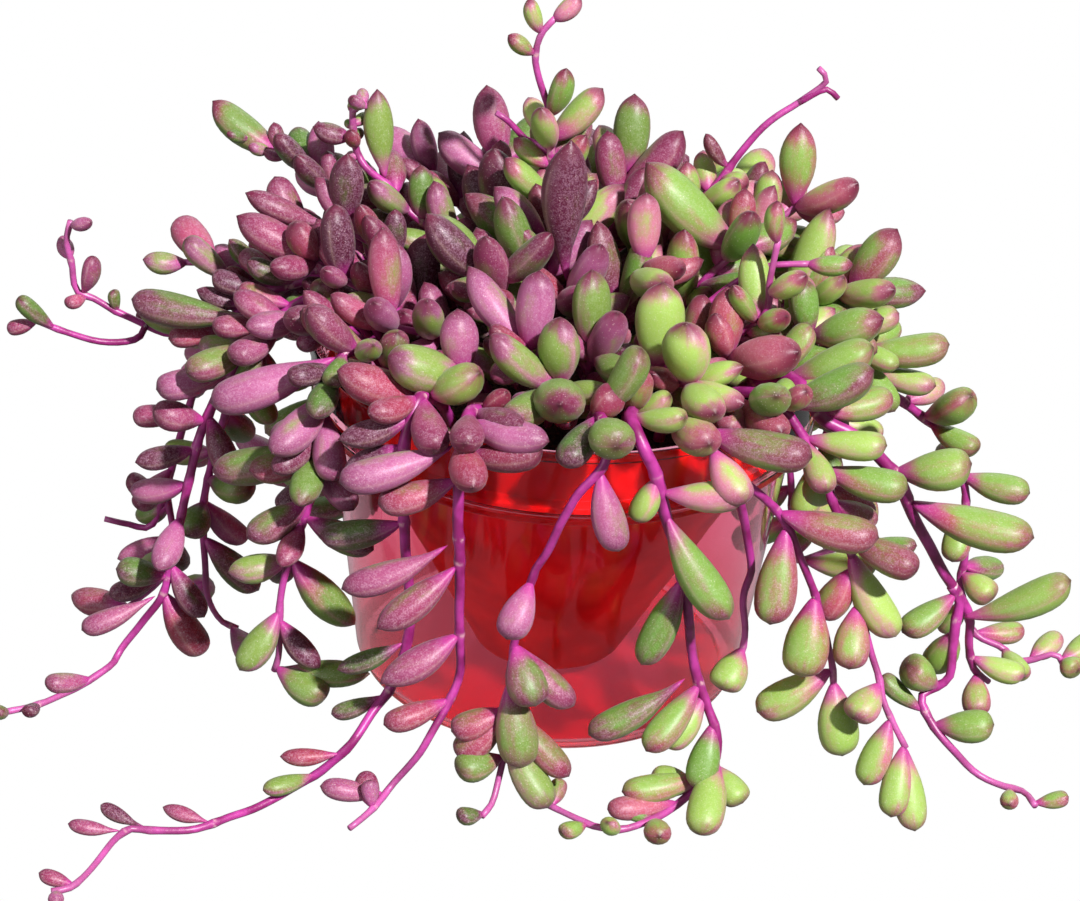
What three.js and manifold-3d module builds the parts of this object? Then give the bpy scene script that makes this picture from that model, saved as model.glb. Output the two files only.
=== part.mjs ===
// A potted ruby necklace: a trailing succulent in a see-through red pot.
//
// Lengths are in millimetres. +Z is up and -Y is the front. The origin is on the floor,
// under the middle of the pot. The pieces are the outer pot, a tapered insert that hangs
// in it, the potting mix with a plain hole for each stem, and the plant's stems, each
// one body with the leaves that grow on it.

import * as THREE from "three";
import { mergeVertices } from "three/addons/utils/BufferGeometryUtils.js";
import Module from "manifold-3d";

// Driving dimensions of the pot and what it holds
const POT_HEIGHT = 84;
const RIM_RADIUS = 57.5;
const LIP_RADIUS = 56.6;
const COLLAR_HEIGHT = 18;
const BODY_TOP_RADIUS = 52.8;
const BASE_RADIUS = 45;
const BASE_ROUNDING = 3;
const WALL = 1.5;
const POT_SIDES = 36;
const INSERT_BASE_RADIUS = 17;
const INSERT_LIFT = 4;
const INSERT_RIM = 79;
const INSERT_INSET = 1;
const INSERT_WALL = 1.2;
const INSERT_FLANGE = 1.5;
const INSERT_SIDES = 24;
const FLANGE_PLAY = 0.7;
const SEAT_GAP = 0.3;
const MIX_TOP = 74;
const MIX_CROWN = 1.2;
const MIX_PLAY = 0.4;
const HOLE_FLOOR = 60.5;
const HOLE_PLAY = 1.7;
const HOLE_SIDES = 4;

// Driving dimensions of the plant
const HOLE_HEIGHTS = [61, 68, 76];
const STEM_SIDES = 3;
const STEM_STEP = 12.5;
const STEM_TIP_RADIUS = 0.6;
const BRANCH_SHARE = 0.36;
const FINE_STEPS = 12;
const LEAF_SIDES = 4;
const LEAF_FLATNESS = 0.86;
const LEAF_WIDTH_SHARE = 0.44;
const LONG_LEAF = 21;
const LEAF_GAP = 0.3;
const STEM_GAP = 0.15;
const POT_GAP = 0.4;
const FLOOR_GAP = 0.35;
const STEEPEST_RAISED = 0.85;
const GOLDEN_TURN = 2.39996;

// A leaf is rooted this far before the end of its stem. Its neck and its body, as shares
// of its length and half width, and how near the body may come to what grows with it.
const LAST_ROOT = 1;
const NECK = { from: 0.08, to: 0.4, width: 0.5 };
const BODY_END = 0.84;
const NEAREST_OWN_LEAF = 0.8;
const NEAREST_OWN_STEM = 0.4;

// How a leaf that would touch another is changed from one try to the next
const TRIES = 16;
const NUDGE_PER_TRY = 0.08;
const TURN_PER_TRY = 1.1;
const LARGE_SHRINK = 0.02;
const FILL_SHRINK = 0.02;

// Where the rings of a leaf sit along it and how wide they are, as shares of the leaf's
// length and half width: a narrow neck, a full middle and a blunt end with a point.
const LONG_OUTLINE = [[1, 0], [0.82, 0.78], [0.54, 1], [0.2, 0.36], [0, 0]];
const SHORT_OUTLINE = [[1, 0], [0.74, 0.94], [0.34, 0.74], [0, 0]];

// How the leaves of a trailing strand and of a crown shoot stand away from their stem:
// along it, out from the pot's axis, and up. A leaf's side bends up by the lift.
const SIDE_LIFT = 0.35;
const TRAILING = { along: 0.45, out: 0.35, up: -0.15 };
const CROWDED = { along: 0.5, out: 0.45, up: 0.25 };

// The stems. Each starts in its hole, given by x and y, and passes through the points of
// its route. A branch starts on the route. fill lists the stretches along the route where
// leaves grow by rule: from, to, spacing and leaf length. large lists single big leaves:
// where on the route they grow, where their tip is, and how wide they are.
const STRANDS = [
  {
    name: "strand_left_low",
    hole: [-40, -11],
    thick: 2.6,
    route: [[-50, -13, 88], [-59, -14, 89], [-71, -14, 79], [-79, -14, 62], [-83, -17, 45],
      [-85, -19, 34], [-88, -21, 20], [-97, -22, 6], [-99, -27, 4], [-106, -34, 2],
      [-113, -41, 2], [-120, -45, 2]],
    fill: [[28, 116, 9, 17], [158, 170, 6, 7]],
    large: [[109, [-78, -24, 17], 6.4], [112, [-98, -22, 27], 6.8], [116, [-105, -28, 14], 5.8],
      [145, [-112, -37, 5], 5], [74, [-90, -18, 66], 7.4]],
  },
  {
    name: "strand_left_mid",
    hole: [-41, -4],
    thick: 2.2,
    route: [[-51, -4, 87], [-59, -5, 89], [-70, -6, 77], [-76, -6, 58], [-80, -6, 38],
      [-80, -7, 21], [-79, -8, 12], [-76, -8, 6], [-72, -8, 4]],
    fill: [[28, 130, 11, 16]],
    large: [[45, [-97, 0, 84], 9], [90, [-69, -14, 45], 8], [96, [-83, -14, 32], 6.7]],
  },
  {
    name: "strand_left_high",
    hole: [-41, 3],
    thick: 2.2,
    route: [[-51, 3, 88], [-59, 3, 90], [-73, 3, 82], [-81, 4, 68], [-85, 4, 55],
      [-90, 6, 33], [-89, 4, 22], [-91, 0, 12], [-96, -3, 7], [-100, -6, 5]],
    branch: [[-89, 5, 28], [-94, 6, 22], [-100, 6, 22], [-105, 6, 23]],
    fill: [[28, 140, 10, 15]],
    large: [[112, [-99, 4, 36], 5.3], [120, [-101, 0, 16], 5.8]],
  },
  {
    name: "strand_front_1",
    hole: [-33, -22],
    thick: 2.2,
    route: [[-42, -28, 88], [-48, -33, 90], [-52, -36, 72], [-53, -40, 61], [-56, -42, 49],
      [-59, -43, 35], [-59, -44, 22], [-60, -44, 17]],
    fill: [[24, 60, 7, 17], [66, 100, 12, 15]],
    large: [[98, [-67, -49, 20], 7.6], [112, [-48, -50, 15], 8], [85, [-43, -40, 28], 9.3],
      [85, [-70, -46, 43], 7.1], [71, [-66, -46, 52], 8], [62, [-66, -43, 67], 7.6],
      [34, [-55, -34, 102], 8.5], [38, [-75, -36, 79], 10]],
  },
  {
    name: "strand_front_2",
    hole: [-24, -32],
    thick: 2.4,
    route: [[-28, -43, 88], [-31, -50, 89], [-33, -53, 78], [-32, -53, 58], [-30, -54, 38],
      [-33, -56, 24], [-37, -60, 19], [-41, -66, 14], [-46, -66, 8], [-51, -67, 4],
      [-60, -74, 2], [-66, -79, 2], [-73, -84, 2], [-82, -85, 2], [-86, -85, 2],
      [-89, -90, 2], [-92, -99, 2], [-95, -106, 2], [-99, -108, 2]],
    fill: [[24, 48, 6, 18], [196, 206, 5, 6]],
    large: [[94, [-45, -57, 27], 5.3], [107, [-46, -58, 16], 4.4], [123, [-56, -68, 11], 4.4],
      [131, [-61, -72, 3], 5], [157, [-80, -78, 3], 3.6], [176, [-99, -86, 3], 3.6],
      [170, [-93, -80, 4], 3.4], [29, [-50, -46, 92], 10.3], [33, [-17, -51, 98], 10.5]],
  },
  {
    name: "strand_front_3",
    hole: [-13, -38],
    thick: 2.6,
    route: [[-17, -47, 87], [-20, -56, 90], [-21, -60, 80], [-20, -60, 58], [-19, -60, 39],
      [-19, -60, 28], [-24, -66, 18], [-27, -67, 12], [-31, -67, 6], [-33, -69, 4],
      [-36, -75, 3], [-40, -80, 2]],
    fill: [[24, 44, 6, 18]],
    large: [[52, [-37, -64, 73], 7.6], [66, [-44, -64, 52], 7.6], [72, [-36, -69, 46], 7.6],
      [89, [-35, -67, 31], 8], [105, [-34, -68, 21], 6.2], [131, [-47, -71, 6], 5.3],
      [136, [-38, -66, 7], 4.5], [47, [-2, -62, 90], 9.3]],
  },
  {
    name: "strand_front_4",
    hole: [4, -40],
    thick: 2,
    route: [[6, -48, 88], [8, -57, 92], [9, -63, 86], [3, -64, 77], [-2, -62, 62],
      [-4, -62, 58], [-7, -62, 42], [-8, -62, 28], [-8, -64, 15], [-9, -66, 8],
      [-10, -70, 4], [-12, -74, 3]],
    fill: [[24, 38, 6, 17]],
    large: [[50, [13, -68, 68], 7.6], [81, [-9, -70, 46], 7.1], [97, [-2, -69, 29], 8.9],
      [97, [6, -65, 27], 7.6], [106, [-4, -69, 13], 9.3], [111, [6, -67, 10], 7.1],
      [113, [-18, -65, 12], 8.4], [124, [-18, -70, 12], 6.7], [39, [11, -69, 93], 9.2],
      [140, [-17, -77, 5], 3.6]],
  },
  {
    name: "strand_front_5",
    hole: [13, -37],
    thick: 2.8,
    route: [[14, -45, 88], [14, -56, 92], [17, -61, 88], [20, -60, 81], [23, -59, 70],
      [26, -57, 60], [29, -56, 47], [31, -55, 34], [35, -57, 24], [38, -60, 16],
      [36, -61, 8], [31, -64, 3], [26, -69, 2], [19, -74, 2], [13, -74, 2],
      [8, -71, 2], [2, -67, 2]],
    fill: [[24, 38, 6, 17], [140, 176, 8, 7]],
    large: [[63, [37, -66, 52], 9.3], [82, [20, -61, 36], 8], [106, [10, -61, 17], 7.6],
      [109, [19, -66, 17], 8.4], [118, [34, -66, 8], 7.1], [128, [42, -71, 4], 8],
      [134, [24, -60, 6], 6.7], [147, [26, -80, 5], 5.4], [59, [38, -64, 81], 7.6],
      [55, [12, -64, 71], 7.6], [38, [0, -62, 85], 8.1]],
  },
  {
    name: "strand_front_6",
    hole: [21, -33],
    thick: 2.6,
    route: [[22, -43, 87], [27, -53, 91], [31, -57, 87], [37, -56, 76], [40, -53, 65],
      [42, -52, 56], [41, -51, 48], [42, -51, 38], [41, -52, 30]],
    branch: [[31, -57, 87], [38, -57, 80], [45, -55, 73], [49, -55, 67], [54, -54, 56],
      [58, -54, 45], [61, -54, 35], [62, -54, 29]],
    fill: [[24, 40, 6, 18]],
    large: [[102, [35, -57, 27], 8.4], [44, [51, -61, 89], 9.3], [48, [38, -66, 80], 7.6]],
    largeOnBranch: [[22, [67, -58, 69], 9.3], [26, [46, -64, 50], 8.9], [45, [54, -62, 36], 9.8],
      [67, [65, -60, 15], 9.3], [64, [46, -57, 23], 8.9]],
  },
  {
    name: "strand_front_7",
    hole: [29, -26],
    thick: 2.4,
    route: [[36, -34, 88], [44, -42, 91], [51, -45, 84], [56, -46, 76], [57, -46, 73],
      [63, -49, 59], [64, -51, 52], [69, -55, 39], [71, -57, 34], [73, -60, 28], [78, -63, 20]],
    fill: [[24, 44, 6, 18], [52, 76, 9, 17]],
    large: [[80, [74, -53, 42], 8.9], [92, [64, -61, 38], 7.6], [110, [65, -64, 26], 7.6],
      [118, [68, -67, 12], 7.6], [125, [73, -71, 6], 7.6], [127, [81, -72, 5], 7.1]],
  },
  {
    name: "strand_right_arch",
    hole: [36, -17],
    thick: 3.2,
    route: [[43, -25, 88], [50, -34, 91], [55, -37, 85], [62, -38, 82], [69, -38, 76],
      [73, -38, 71], [76, -37, 64], [81, -36, 55], [85, -36, 48], [89, -36, 42],
      [89, -37, 36], [89, -38, 30], [89, -39, 23], [85, -40, 20], [83, -42, 19],
      [85, -44, 15], [89, -47, 11], [96, -47, 4], [102, -49, 2], [107, -51, 2], [109, -56, 2]],
    branch: [[89, -36, 42], [92, -35, 37], [93, -34, 30], [95, -33, 22], [99, -32, 18]],
    fill: [[24, 48, 6, 18], [154, 174, 9, 8]],
    large: [[69, [87, -40, 78], 10.2], [77, [102, -42, 62], 10.2], [109, [112, -39, 50], 8.9],
      [103, [77, -42, 36], 7.1], [134, [74, -40, 23], 4.6], [137, [99, -46, 16], 8]],
    largeOnBranch: [[21, [106, -36, 23], 5.8], [26, [96, -42, 15], 6.2]],
  },
  {
    name: "strand_right_low",
    hole: [40, -6],
    thick: 2.4,
    route: [[49, -5, 88], [58, -2, 89], [65, 3, 80], [72, 6, 71], [83, 8, 62], [88, 8, 57],
      [91, 8, 50], [94, 8, 44], [96, 8, 27], [96, 8, 18], [100, 5, 8], [107, 3, 5],
      [110, 1, 3], [114, 0, 4], [119, 0, 6], [121, -1, 4]],
    fill: [[26, 56, 6, 17], [66, 160, 9, 15]],
    large: [[50, [85, 3, 84], 8.6], [76, [91, 0, 73], 8.9], [120, [103, 2, 19], 6.7],
      [163, [124, -5, 5], 4.9]],
  },
  {
    name: "shoot_left_reach",
    hole: [-41, 10],
    thick: 2,
    route: [[-51, 10, 88], [-59, 10, 88], [-71, 9, 79], [-82, 9, 72], [-90, 9, 71],
      [-95, 9, 73], [-102, 9, 76], [-107, 9, 79], [-111, 9, 81], [-112, 9, 87],
      [-113, 9, 93], [-112, 9, 98]],
    branch: [[-90, 9, 71], [-97, 4, 72], [-105, 2, 72], [-113, 0, 75], [-119, -1, 78]],
    fill: [[28, 66, 7, 15], [74, 114, 9, 7]],
    large: [[95, [-107, 8, 90], 4.4]],
    largeOnBranch: [[23, [-122, -3, 84], 4.4], [32, [-125, -1, 75], 3.4]],
  },
  {
    name: "shoot_left_rise",
    hole: [-38, 17],
    thick: 2,
    route: [[-47, 18, 88], [-57, 17, 92], [-67, 14, 88], [-75, 12, 84], [-80, 12, 88],
      [-87, 12, 88]],
    fill: [[24, 66, 5, 15]],
    large: [[72, [-96, 10, 89], 5.3]],
  },
];

// Upright shoots that stand clear of the crown
const TALL_SHOOTS = [
  {
    name: "shoot_top_centre",
    hole: [-3, 9],
    thick: 2,
    route: [[-4, 14, 95], [-6, 20, 115], [-7, 20, 126], [-10, 20, 135], [-11, 20, 140],
      [-10, 20, 145], [-7, 20, 149]],
    branch: [[-6, 20, 116], [-9, 22, 118], [-12, 24, 118], [-16, 24, 122], [-19, 24, 124]],
    fill: [[24, 60, 5, 15]],
    large: [[91, [-2, 21, 154], 4.2], [86, [-13, 20, 153], 4], [81, [-17, 18, 145], 4],
      [66, [-4, 18, 138], 5.8], [58, [-9, 14, 130], 6.2]],
  },
  {
    name: "shoot_top_right",
    hole: [13, 12],
    thick: 2,
    route: [[18, 16, 92], [26, 20, 104], [32, 24, 111], [38, 26, 120], [43, 28, 125],
      [49, 30, 129], [54, 30, 134], [52, 30, 137]],
    branch: [[49, 30, 129], [54, 30, 132], [57, 30, 130]],
    fill: [[22, 52, 4.5, 15]],
    large: [[59, [28, 24, 122], 3.6], [56, [38, 20, 112], 5.6]],
  },
  {
    name: "shoot_top_left",
    hole: [-19, 14],
    thick: 2,
    route: [[-27, 19, 92], [-37, 22, 99], [-42, 24, 104], [-47, 26, 107], [-50, 28, 111],
      [-51, 28, 116], [-51, 28, 121], [-48, 28, 122]],
    fill: [[22, 50, 4.5, 15], [60, 78, 6, 6]],
    large: [[66, [-60, 28, 116], 4.9], [53, [-46, 30, 125], 7.1]],
  },
  {
    name: "shoot_back_left",
    hole: [-27, 24],
    thick: 2,
    route: [[-38, 28, 90], [-48, 30, 96], [-56, 30, 100], [-63, 32, 105], [-70, 34, 107],
      [-76, 34, 110]],
    fill: [[22, 60, 4.5, 15], [64, 77, 5, 7]],
    large: [[68, [-88, 38, 116], 9.4]],
  },
  {
    name: "shoot_right_rise",
    hole: [17, -13],
    thick: 2,
    route: [[21, -17, 86], [29, -21, 92], [38, -22, 97], [42, -22, 102], [42, -20, 108],
      [43, -20, 118]],
    branch: [[21, -17, 86], [27, -14, 96], [36, -12, 104], [42, -12, 108], [51, -12, 109]],
    fill: [[22, 50, 4.5, 15]],
    large: [[70, [42, -20, 127], 4.6], [57, [49, -26, 113], 5.8], [50, [34, -27, 110], 4.9]],
    largeOnBranch: [[48, [60, -13, 110], 4.6]],
  },
];

// The crown over the pot, by its hole, where the shoot ends, and its big leaves there
const CROWN_SHOOTS = [
  { hole: [-1, -6], end: [0, -5, 94], large: [[-2, -3, 130, 10.6]] },
  { hole: [9, -3], end: [16, -5, 104], large: [[15, -3, 119, 7.5]] },
  { hole: [22, 2], end: [37, 5, 104], large: [[15, 8, 121, 12.4]] },
  { hole: [-11, -4], end: [-17, -8, 99], large: [[-32, -8, 113, 9.4], [-4, -12, 113, 8]] },
  { hole: [-8, -20], end: [-8, -34, 95], large: [[-7, -30, 112, 8.5]] },
  { hole: [4, -22], end: [6, -30, 94], large: [[4, -28, 112, 9.4]] },
  { hole: [-3, -31], end: [-1, -41, 91], large: [[-2, -41, 107, 10], [-1, -60, 97, 11]] },
  { hole: [13, -23], end: [20, -32, 92], large: [[19, -30, 111, 10.8]] },
  { hole: [20, -22], end: [26, -42, 94], large: [[24, -44, 109, 10.8], [31, -58, 98, 9]] },
  { hole: [26, -15], end: [35, -26, 92], large: [[33, -24, 108, 8.5], [48, -38, 101, 11]] },
  { hole: [31, -9], end: [53, -15, 93], large: [[54, -12, 109, 8.5], [67, -20, 101, 10]] },
  { hole: [32, 3], end: [63, 6, 95], large: [[71, 8, 109, 10], [82, 10, 96, 9]] },
  { hole: [27, 14], end: [50, 22, 107], large: [[49, 26, 125, 8.5]] },
  { hole: [-31, -5], end: [-50, -9, 97], large: [[-52, -8, 114, 8.5]] },
  { hole: [-31, 3], end: [-57, 0, 97], large: [[-74, 2, 105, 9]] },
  { hole: [-29, 11], end: [-52, 11, 100], large: [[-51, 12, 117, 8.1]] },
  { hole: [-19, -11], end: [-39, -20, 92], large: [[-41, -16, 113, 7.6]] },
  { hole: [-15, -26], end: [-22, -41, 92], large: [[-37, -46, 98, 11], [-23, -38, 107, 9]] },
  { hole: [-6, 0], end: [-6, 4, 105], large: [[-18, 6, 114, 8]] },
  { hole: [5, 24], end: [12, 40, 104], large: [[12, 46, 121, 8.5]] },
  { hole: [-12, 22], end: [-18, 42, 104], large: [[-22, 48, 120, 9]] },
  { hole: [20, 26], end: [38, 44, 96], large: [[44, 58, 104, 9]] },
  { hole: [-15, 32], end: [-34, 50, 96], large: [[-46, 61, 102, 9]] },
  { hole: [-2, 32], end: [3, 60, 96], large: [[2, 74, 99, 9]] },
];

// Strands down the back: compass direction of the strand, how high above the floor it
// ends, and how far it then runs along the floor
const BACK_STRANDS = [
  { turn: 22, sway: 6, end: 30, run: 0 },
  { turn: 42, sway: -8, end: 3, run: 22 },
  { turn: 62, sway: 7, end: 24, run: 0 },
  { turn: 82, sway: 9, end: 3, run: 40 },
  { turn: 103, sway: -8, end: 34, run: 0 },
  { turn: 124, sway: 8, end: 3, run: 30 },
  { turn: 146, sway: -5, end: 18, run: 0 },
];
const BACK_HOLE_RADIUS = 41;
const BACK_RADIUS = 67;
const BACK_FLARE = 0.06;
const BACK_END_RADIUS = 72;
const BACK_STEP = 16;
const BACK_SHOULDER = [[50, 87], [58.5, 90], [65, 79]];
const BACK_FILL = [[24, 400, 16, 18]];

// The bend of a crown shoot, as shares of the way from its hole to its end, and its leaves
const CROWN_BEND = { level: 0.35, rise: 0.6 };
const CROWN_FILL = [[17, 400, 5.4, 18]];
const CROWN_THICK = 2;
const AT_THE_END = 400;

// Colours of the parts
const POT_RED = new THREE.MeshStandardMaterial({
  color: 0xc01c24, roughness: 0.15, metalness: 0, transparent: true, opacity: 0.45,
});
const INSERT_RED = new THREE.MeshStandardMaterial({ color: 0xa80d14, roughness: 0.4, metalness: 0 });
const MIX_BROWN = new THREE.MeshStandardMaterial({ color: 0x35241b, roughness: 0.95, metalness: 0 });

const wasm = await Module();
wasm.setup();

// A closed three.js geometry as a solid that can be joined and cut
function solidOf(geometry) {
  const bare = geometry.clone();
  bare.deleteAttribute("normal");
  bare.deleteAttribute("uv");
  const merged = mergeVertices(bare, 1e-4);
  const corners = merged.index.array;
  const kept = [];
  for (let i = 0; i < corners.length; i += 3) {
    const [a, b, c] = [corners[i], corners[i + 1], corners[i + 2]];
    if (a !== b && b !== c && c !== a) kept.push(a, b, c);
  }
  return new wasm.Manifold(new wasm.Mesh({
    numProp: 3,
    vertProperties: new Float32Array(merged.attributes.position.array),
    triVerts: new Uint32Array(kept),
  }));
}

function geometryOf(solid) {
  const mesh = solid.getMesh();
  const geometry = new THREE.BufferGeometry();
  geometry.setAttribute("position", new THREE.BufferAttribute(mesh.vertProperties, 3));
  geometry.setIndex(new THREE.BufferAttribute(mesh.triVerts, 1));
  geometry.computeVertexNormals();
  return geometry;
}

function meshOf(name, solid, material) {
  const mesh = new THREE.Mesh(geometryOf(solid), material);
  mesh.name = name;
  return mesh;
}

// A profile of [radius, height] points turned about the vertical axis
function turned(profile, sides) {
  const points = profile.map(([radius, height]) => new THREE.Vector2(radius, height));
  const geometry = new THREE.LatheGeometry(points, sides);
  geometry.rotateX(Math.PI / 2);
  return solidOf(geometry);
}

// The outer pot: a tapered cup with a collar that stands out over a step
const COLLAR_FOOT = POT_HEIGHT - COLLAR_HEIGHT;
const LEDGE_HEIGHT = COLLAR_FOOT + WALL;

function outerPot() {
  return turned([
    [0, 0],
    [BASE_RADIUS - BASE_ROUNDING, 0],
    [BASE_RADIUS - 0.3 * BASE_ROUNDING, 0.3 * BASE_ROUNDING],
    [BASE_RADIUS, BASE_ROUNDING],
    [BODY_TOP_RADIUS, COLLAR_FOOT],
    [LIP_RADIUS, COLLAR_FOOT],
    [RIM_RADIUS, POT_HEIGHT],
    [RIM_RADIUS - WALL, POT_HEIGHT],
    [LIP_RADIUS - WALL, LEDGE_HEIGHT],
    [BODY_TOP_RADIUS - WALL, LEDGE_HEIGHT],
    [BASE_RADIUS - WALL, BASE_ROUNDING],
    [BASE_RADIUS - WALL - INSERT_INSET, WALL],
    [0, WALL],
  ], POT_SIDES);
}

// The insert: a steep funnel with a flat bottom, whose flange lies on the pot's ledge
const FLANGE_FOOT = LEDGE_HEIGHT + SEAT_GAP;
const FLANGE_RADIUS = LIP_RADIUS - WALL - FLANGE_PLAY;
const INSERT_TOP_RADIUS = BODY_TOP_RADIUS - WALL - INSERT_INSET;
const INSERT_FOOT = WALL + INSERT_LIFT;

function insertPot() {
  return turned([
    [0, INSERT_FOOT],
    [INSERT_BASE_RADIUS, INSERT_FOOT],
    [INSERT_TOP_RADIUS, FLANGE_FOOT],
    [FLANGE_RADIUS, FLANGE_FOOT],
    [FLANGE_RADIUS, FLANGE_FOOT + INSERT_FLANGE],
    [INSERT_TOP_RADIUS + INSERT_WALL, FLANGE_FOOT + INSERT_FLANGE],
    [INSERT_TOP_RADIUS + INSERT_WALL, INSERT_RIM],
    [INSERT_TOP_RADIUS, INSERT_RIM],
    [INSERT_TOP_RADIUS - 0.2, FLANGE_FOOT + INSERT_FLANGE],
    [INSERT_BASE_RADIUS - 0.5, INSERT_FOOT + INSERT_WALL],
    [0, INSERT_FOOT + INSERT_WALL],
  ], INSERT_SIDES);
}

// The potting mix fills the insert, with one hole for each stem
function pottingMix(stems) {
  const foot = INSERT_FOOT + INSERT_WALL + MIX_PLAY;
  let mix = turned([
    [0, foot],
    [INSERT_BASE_RADIUS - 0.5 - MIX_PLAY, foot],
    [INSERT_TOP_RADIUS - INSERT_WALL, FLANGE_FOOT + INSERT_FLANGE],
    [INSERT_TOP_RADIUS - 0.2 - MIX_PLAY, MIX_TOP],
    [INSERT_TOP_RADIUS * 0.6, MIX_TOP + MIX_CROWN],
    [0, MIX_TOP + MIX_CROWN],
  ], INSERT_SIDES);
  const depth = MIX_TOP + 3 * MIX_CROWN - HOLE_FLOOR;
  for (const stem of stems) {
    const radius = stem.thick / 2 + HOLE_PLAY;
    const hole = new THREE.CylinderGeometry(radius, radius, depth, HOLE_SIDES);
    hole.rotateX(Math.PI / 2);
    hole.translate(stem.hole[0], stem.hole[1], HOLE_FLOOR + depth / 2);
    mix = mix.subtract(solidOf(hole));
  }
  return mix;
}

// A repeatable run of draws between 0 and 1
function drawsFrom(seed) {
  let state = seed;
  return () => {
    state = (state * 1664525 + 1013904223) % 4294967296;
    return state / 4294967296;
  };
}

// A line through points, with the distance covered at each of them
function pathAlong(points) {
  const reach = [0];
  for (let i = 1; i < points.length; i += 1) {
    reach.push(reach[i - 1] + points[i].distanceTo(points[i - 1]));
  }
  return { points, reach, length: reach[reach.length - 1] };
}

// A smooth curve through the points of a route, in fine steps
function pathThrough(route) {
  const corners = route.map((point) => new THREE.Vector3(...point));
  const curve = new THREE.CatmullRomCurve3(corners, false, "catmullrom", 0.5);
  return pathAlong(curve.getPoints(FINE_STEPS * (corners.length - 1)));
}

function walk(path, distance) {
  let i = 1;
  while (i < path.points.length - 1 && path.reach[i] < distance) i += 1;
  const before = path.points[i - 1];
  const after = path.points[i];
  const share = Math.min((distance - path.reach[i - 1]) / (path.reach[i] - path.reach[i - 1]), 1);
  return {
    point: before.clone().lerp(after, share),
    along: after.clone().sub(before).normalize(),
  };
}

function rootedRoute(hole, route) {
  return [...HOLE_HEIGHTS.map((height) => [...hole, height]), ...route];
}

// The points that a stem is drawn through, evenly spaced, with its radius at each
function stationsOf(path, startRadius) {
  const steps = Math.max(2, Math.ceil(path.length / STEM_STEP));
  const stations = [];
  for (let i = 0; i <= steps; i += 1) {
    const share = i / steps;
    const { point } = walk(path, share * path.length);
    const radius = THREE.MathUtils.lerp(startRadius, STEM_TIP_RADIUS, share);
    point.z = Math.max(point.z, radius + FLOOR_GAP);
    stations.push({ point, radius });
  }
  return stations;
}

function nearestStation(stations, spot) {
  const target = new THREE.Vector3(...spot);
  const gap = (point) => point.distanceTo(target);
  const points = stations.map(({ point }) => point);
  return points.reduce((best, point) => (gap(point) < gap(best) ? point : best));
}

// Straight bars with a radius stand for stems and leaves while leaves are being placed
function barOf(node, from, to, radius, leafy) {
  const middle = from.clone().lerp(to, 0.5);
  return { node, from, to, radius, leafy, middle, half: from.distanceTo(to) / 2 };
}

// The smallest distance between the middle lines of two bars
function apart(one, other) {
  const u = one.to.clone().sub(one.from);
  const v = other.to.clone().sub(other.from);
  const w = one.from.clone().sub(other.from);
  const uu = u.dot(u);
  const vv = v.dot(v);
  const uv = u.dot(v);
  const uw = u.dot(w);
  const vw = v.dot(w);
  const spread = uu * vv - uv * uv;
  let s = spread > 1e-9 ? THREE.MathUtils.clamp((uv * vw - uw * vv) / spread, 0, 1) : 0;
  let t = (uv * s + vw) / vv;
  if (t < 0) {
    t = 0;
    s = THREE.MathUtils.clamp(-uw / uu, 0, 1);
  } else if (t > 1) {
    t = 1;
    s = THREE.MathUtils.clamp((uv - uw) / uu, 0, 1);
  }
  return w.addScaledVector(u, s).addScaledVector(v, -t).length();
}

// The part of a leaf that another leaf or stem must keep clear of: its neck and its body
function barsOfLeaf(leaf) {
  const at = (share) => leaf.root.clone().addScaledVector(leaf.axis, share * leaf.length);
  return [
    barOf(leaf.node, at(NECK.from), at(NECK.to), NECK.width * leaf.half, false),
    barOf(leaf.node, at(NECK.to), at(BODY_END), leaf.half, true),
  ];
}

function clearOfBars(leaf, bars) {
  return barsOfLeaf(leaf).every((mine) => bars.every((bar) => {
    const reach = mine.radius + bar.radius;
    const farthest = mine.half + bar.half + reach + LEAF_GAP;
    if (mine.middle.distanceTo(bar.middle) > farthest) return true;
    if (bar.node !== leaf.node) return apart(mine, bar) > reach + LEAF_GAP;
    const nearest = bar.leafy ? NEAREST_OWN_LEAF : NEAREST_OWN_STEM;
    return !mine.leafy || apart(mine, bar) > nearest * reach;
  }));
}

function potRadiusAt(height) {
  if (height > COLLAR_FOOT - 1) return RIM_RADIUS;
  return THREE.MathUtils.mapLinear(height, 0, COLLAR_FOOT, BASE_RADIUS, BODY_TOP_RADIUS);
}

// Shares along a leaf where it is tested against the pot and the floor, with its width there
const TESTED = [[0.2, 0.4], [0.4, 0.85], [0.6, 1], [0.82, 0.8], [1, 0.1]];

function clearOfPot(leaf) {
  return TESTED.every(([share, width]) => {
    const point = leaf.root.clone().addScaledVector(leaf.axis, share * leaf.length);
    const radius = width * leaf.half + POT_GAP;
    const out = Math.hypot(point.x, point.y);
    if (point.z > POT_HEIGHT + radius) return true;
    if (out > potRadiusAt(point.z) + radius) return true;
    return out < INSERT_TOP_RADIUS - radius && point.z > MIX_TOP + MIX_CROWN + radius;
  });
}

// A leaf that would reach into the floor is raised until it only lies on it
function raised(leaf) {
  let steep = leaf.axis.z;
  for (const [share, width] of TESTED) {
    const least = (width * leaf.half + FLOOR_GAP - leaf.root.z) / (share * leaf.length);
    steep = Math.max(steep, least);
  }
  if (steep > Math.max(leaf.axis.z, STEEPEST_RAISED)) return null;
  const level = Math.hypot(leaf.axis.x, leaf.axis.y);
  const scale = Math.sqrt(1 - steep * steep) / Math.max(level, 1e-6);
  leaf.axis.set(leaf.axis.x * scale, leaf.axis.y * scale, steep);
  return leaf;
}

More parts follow.
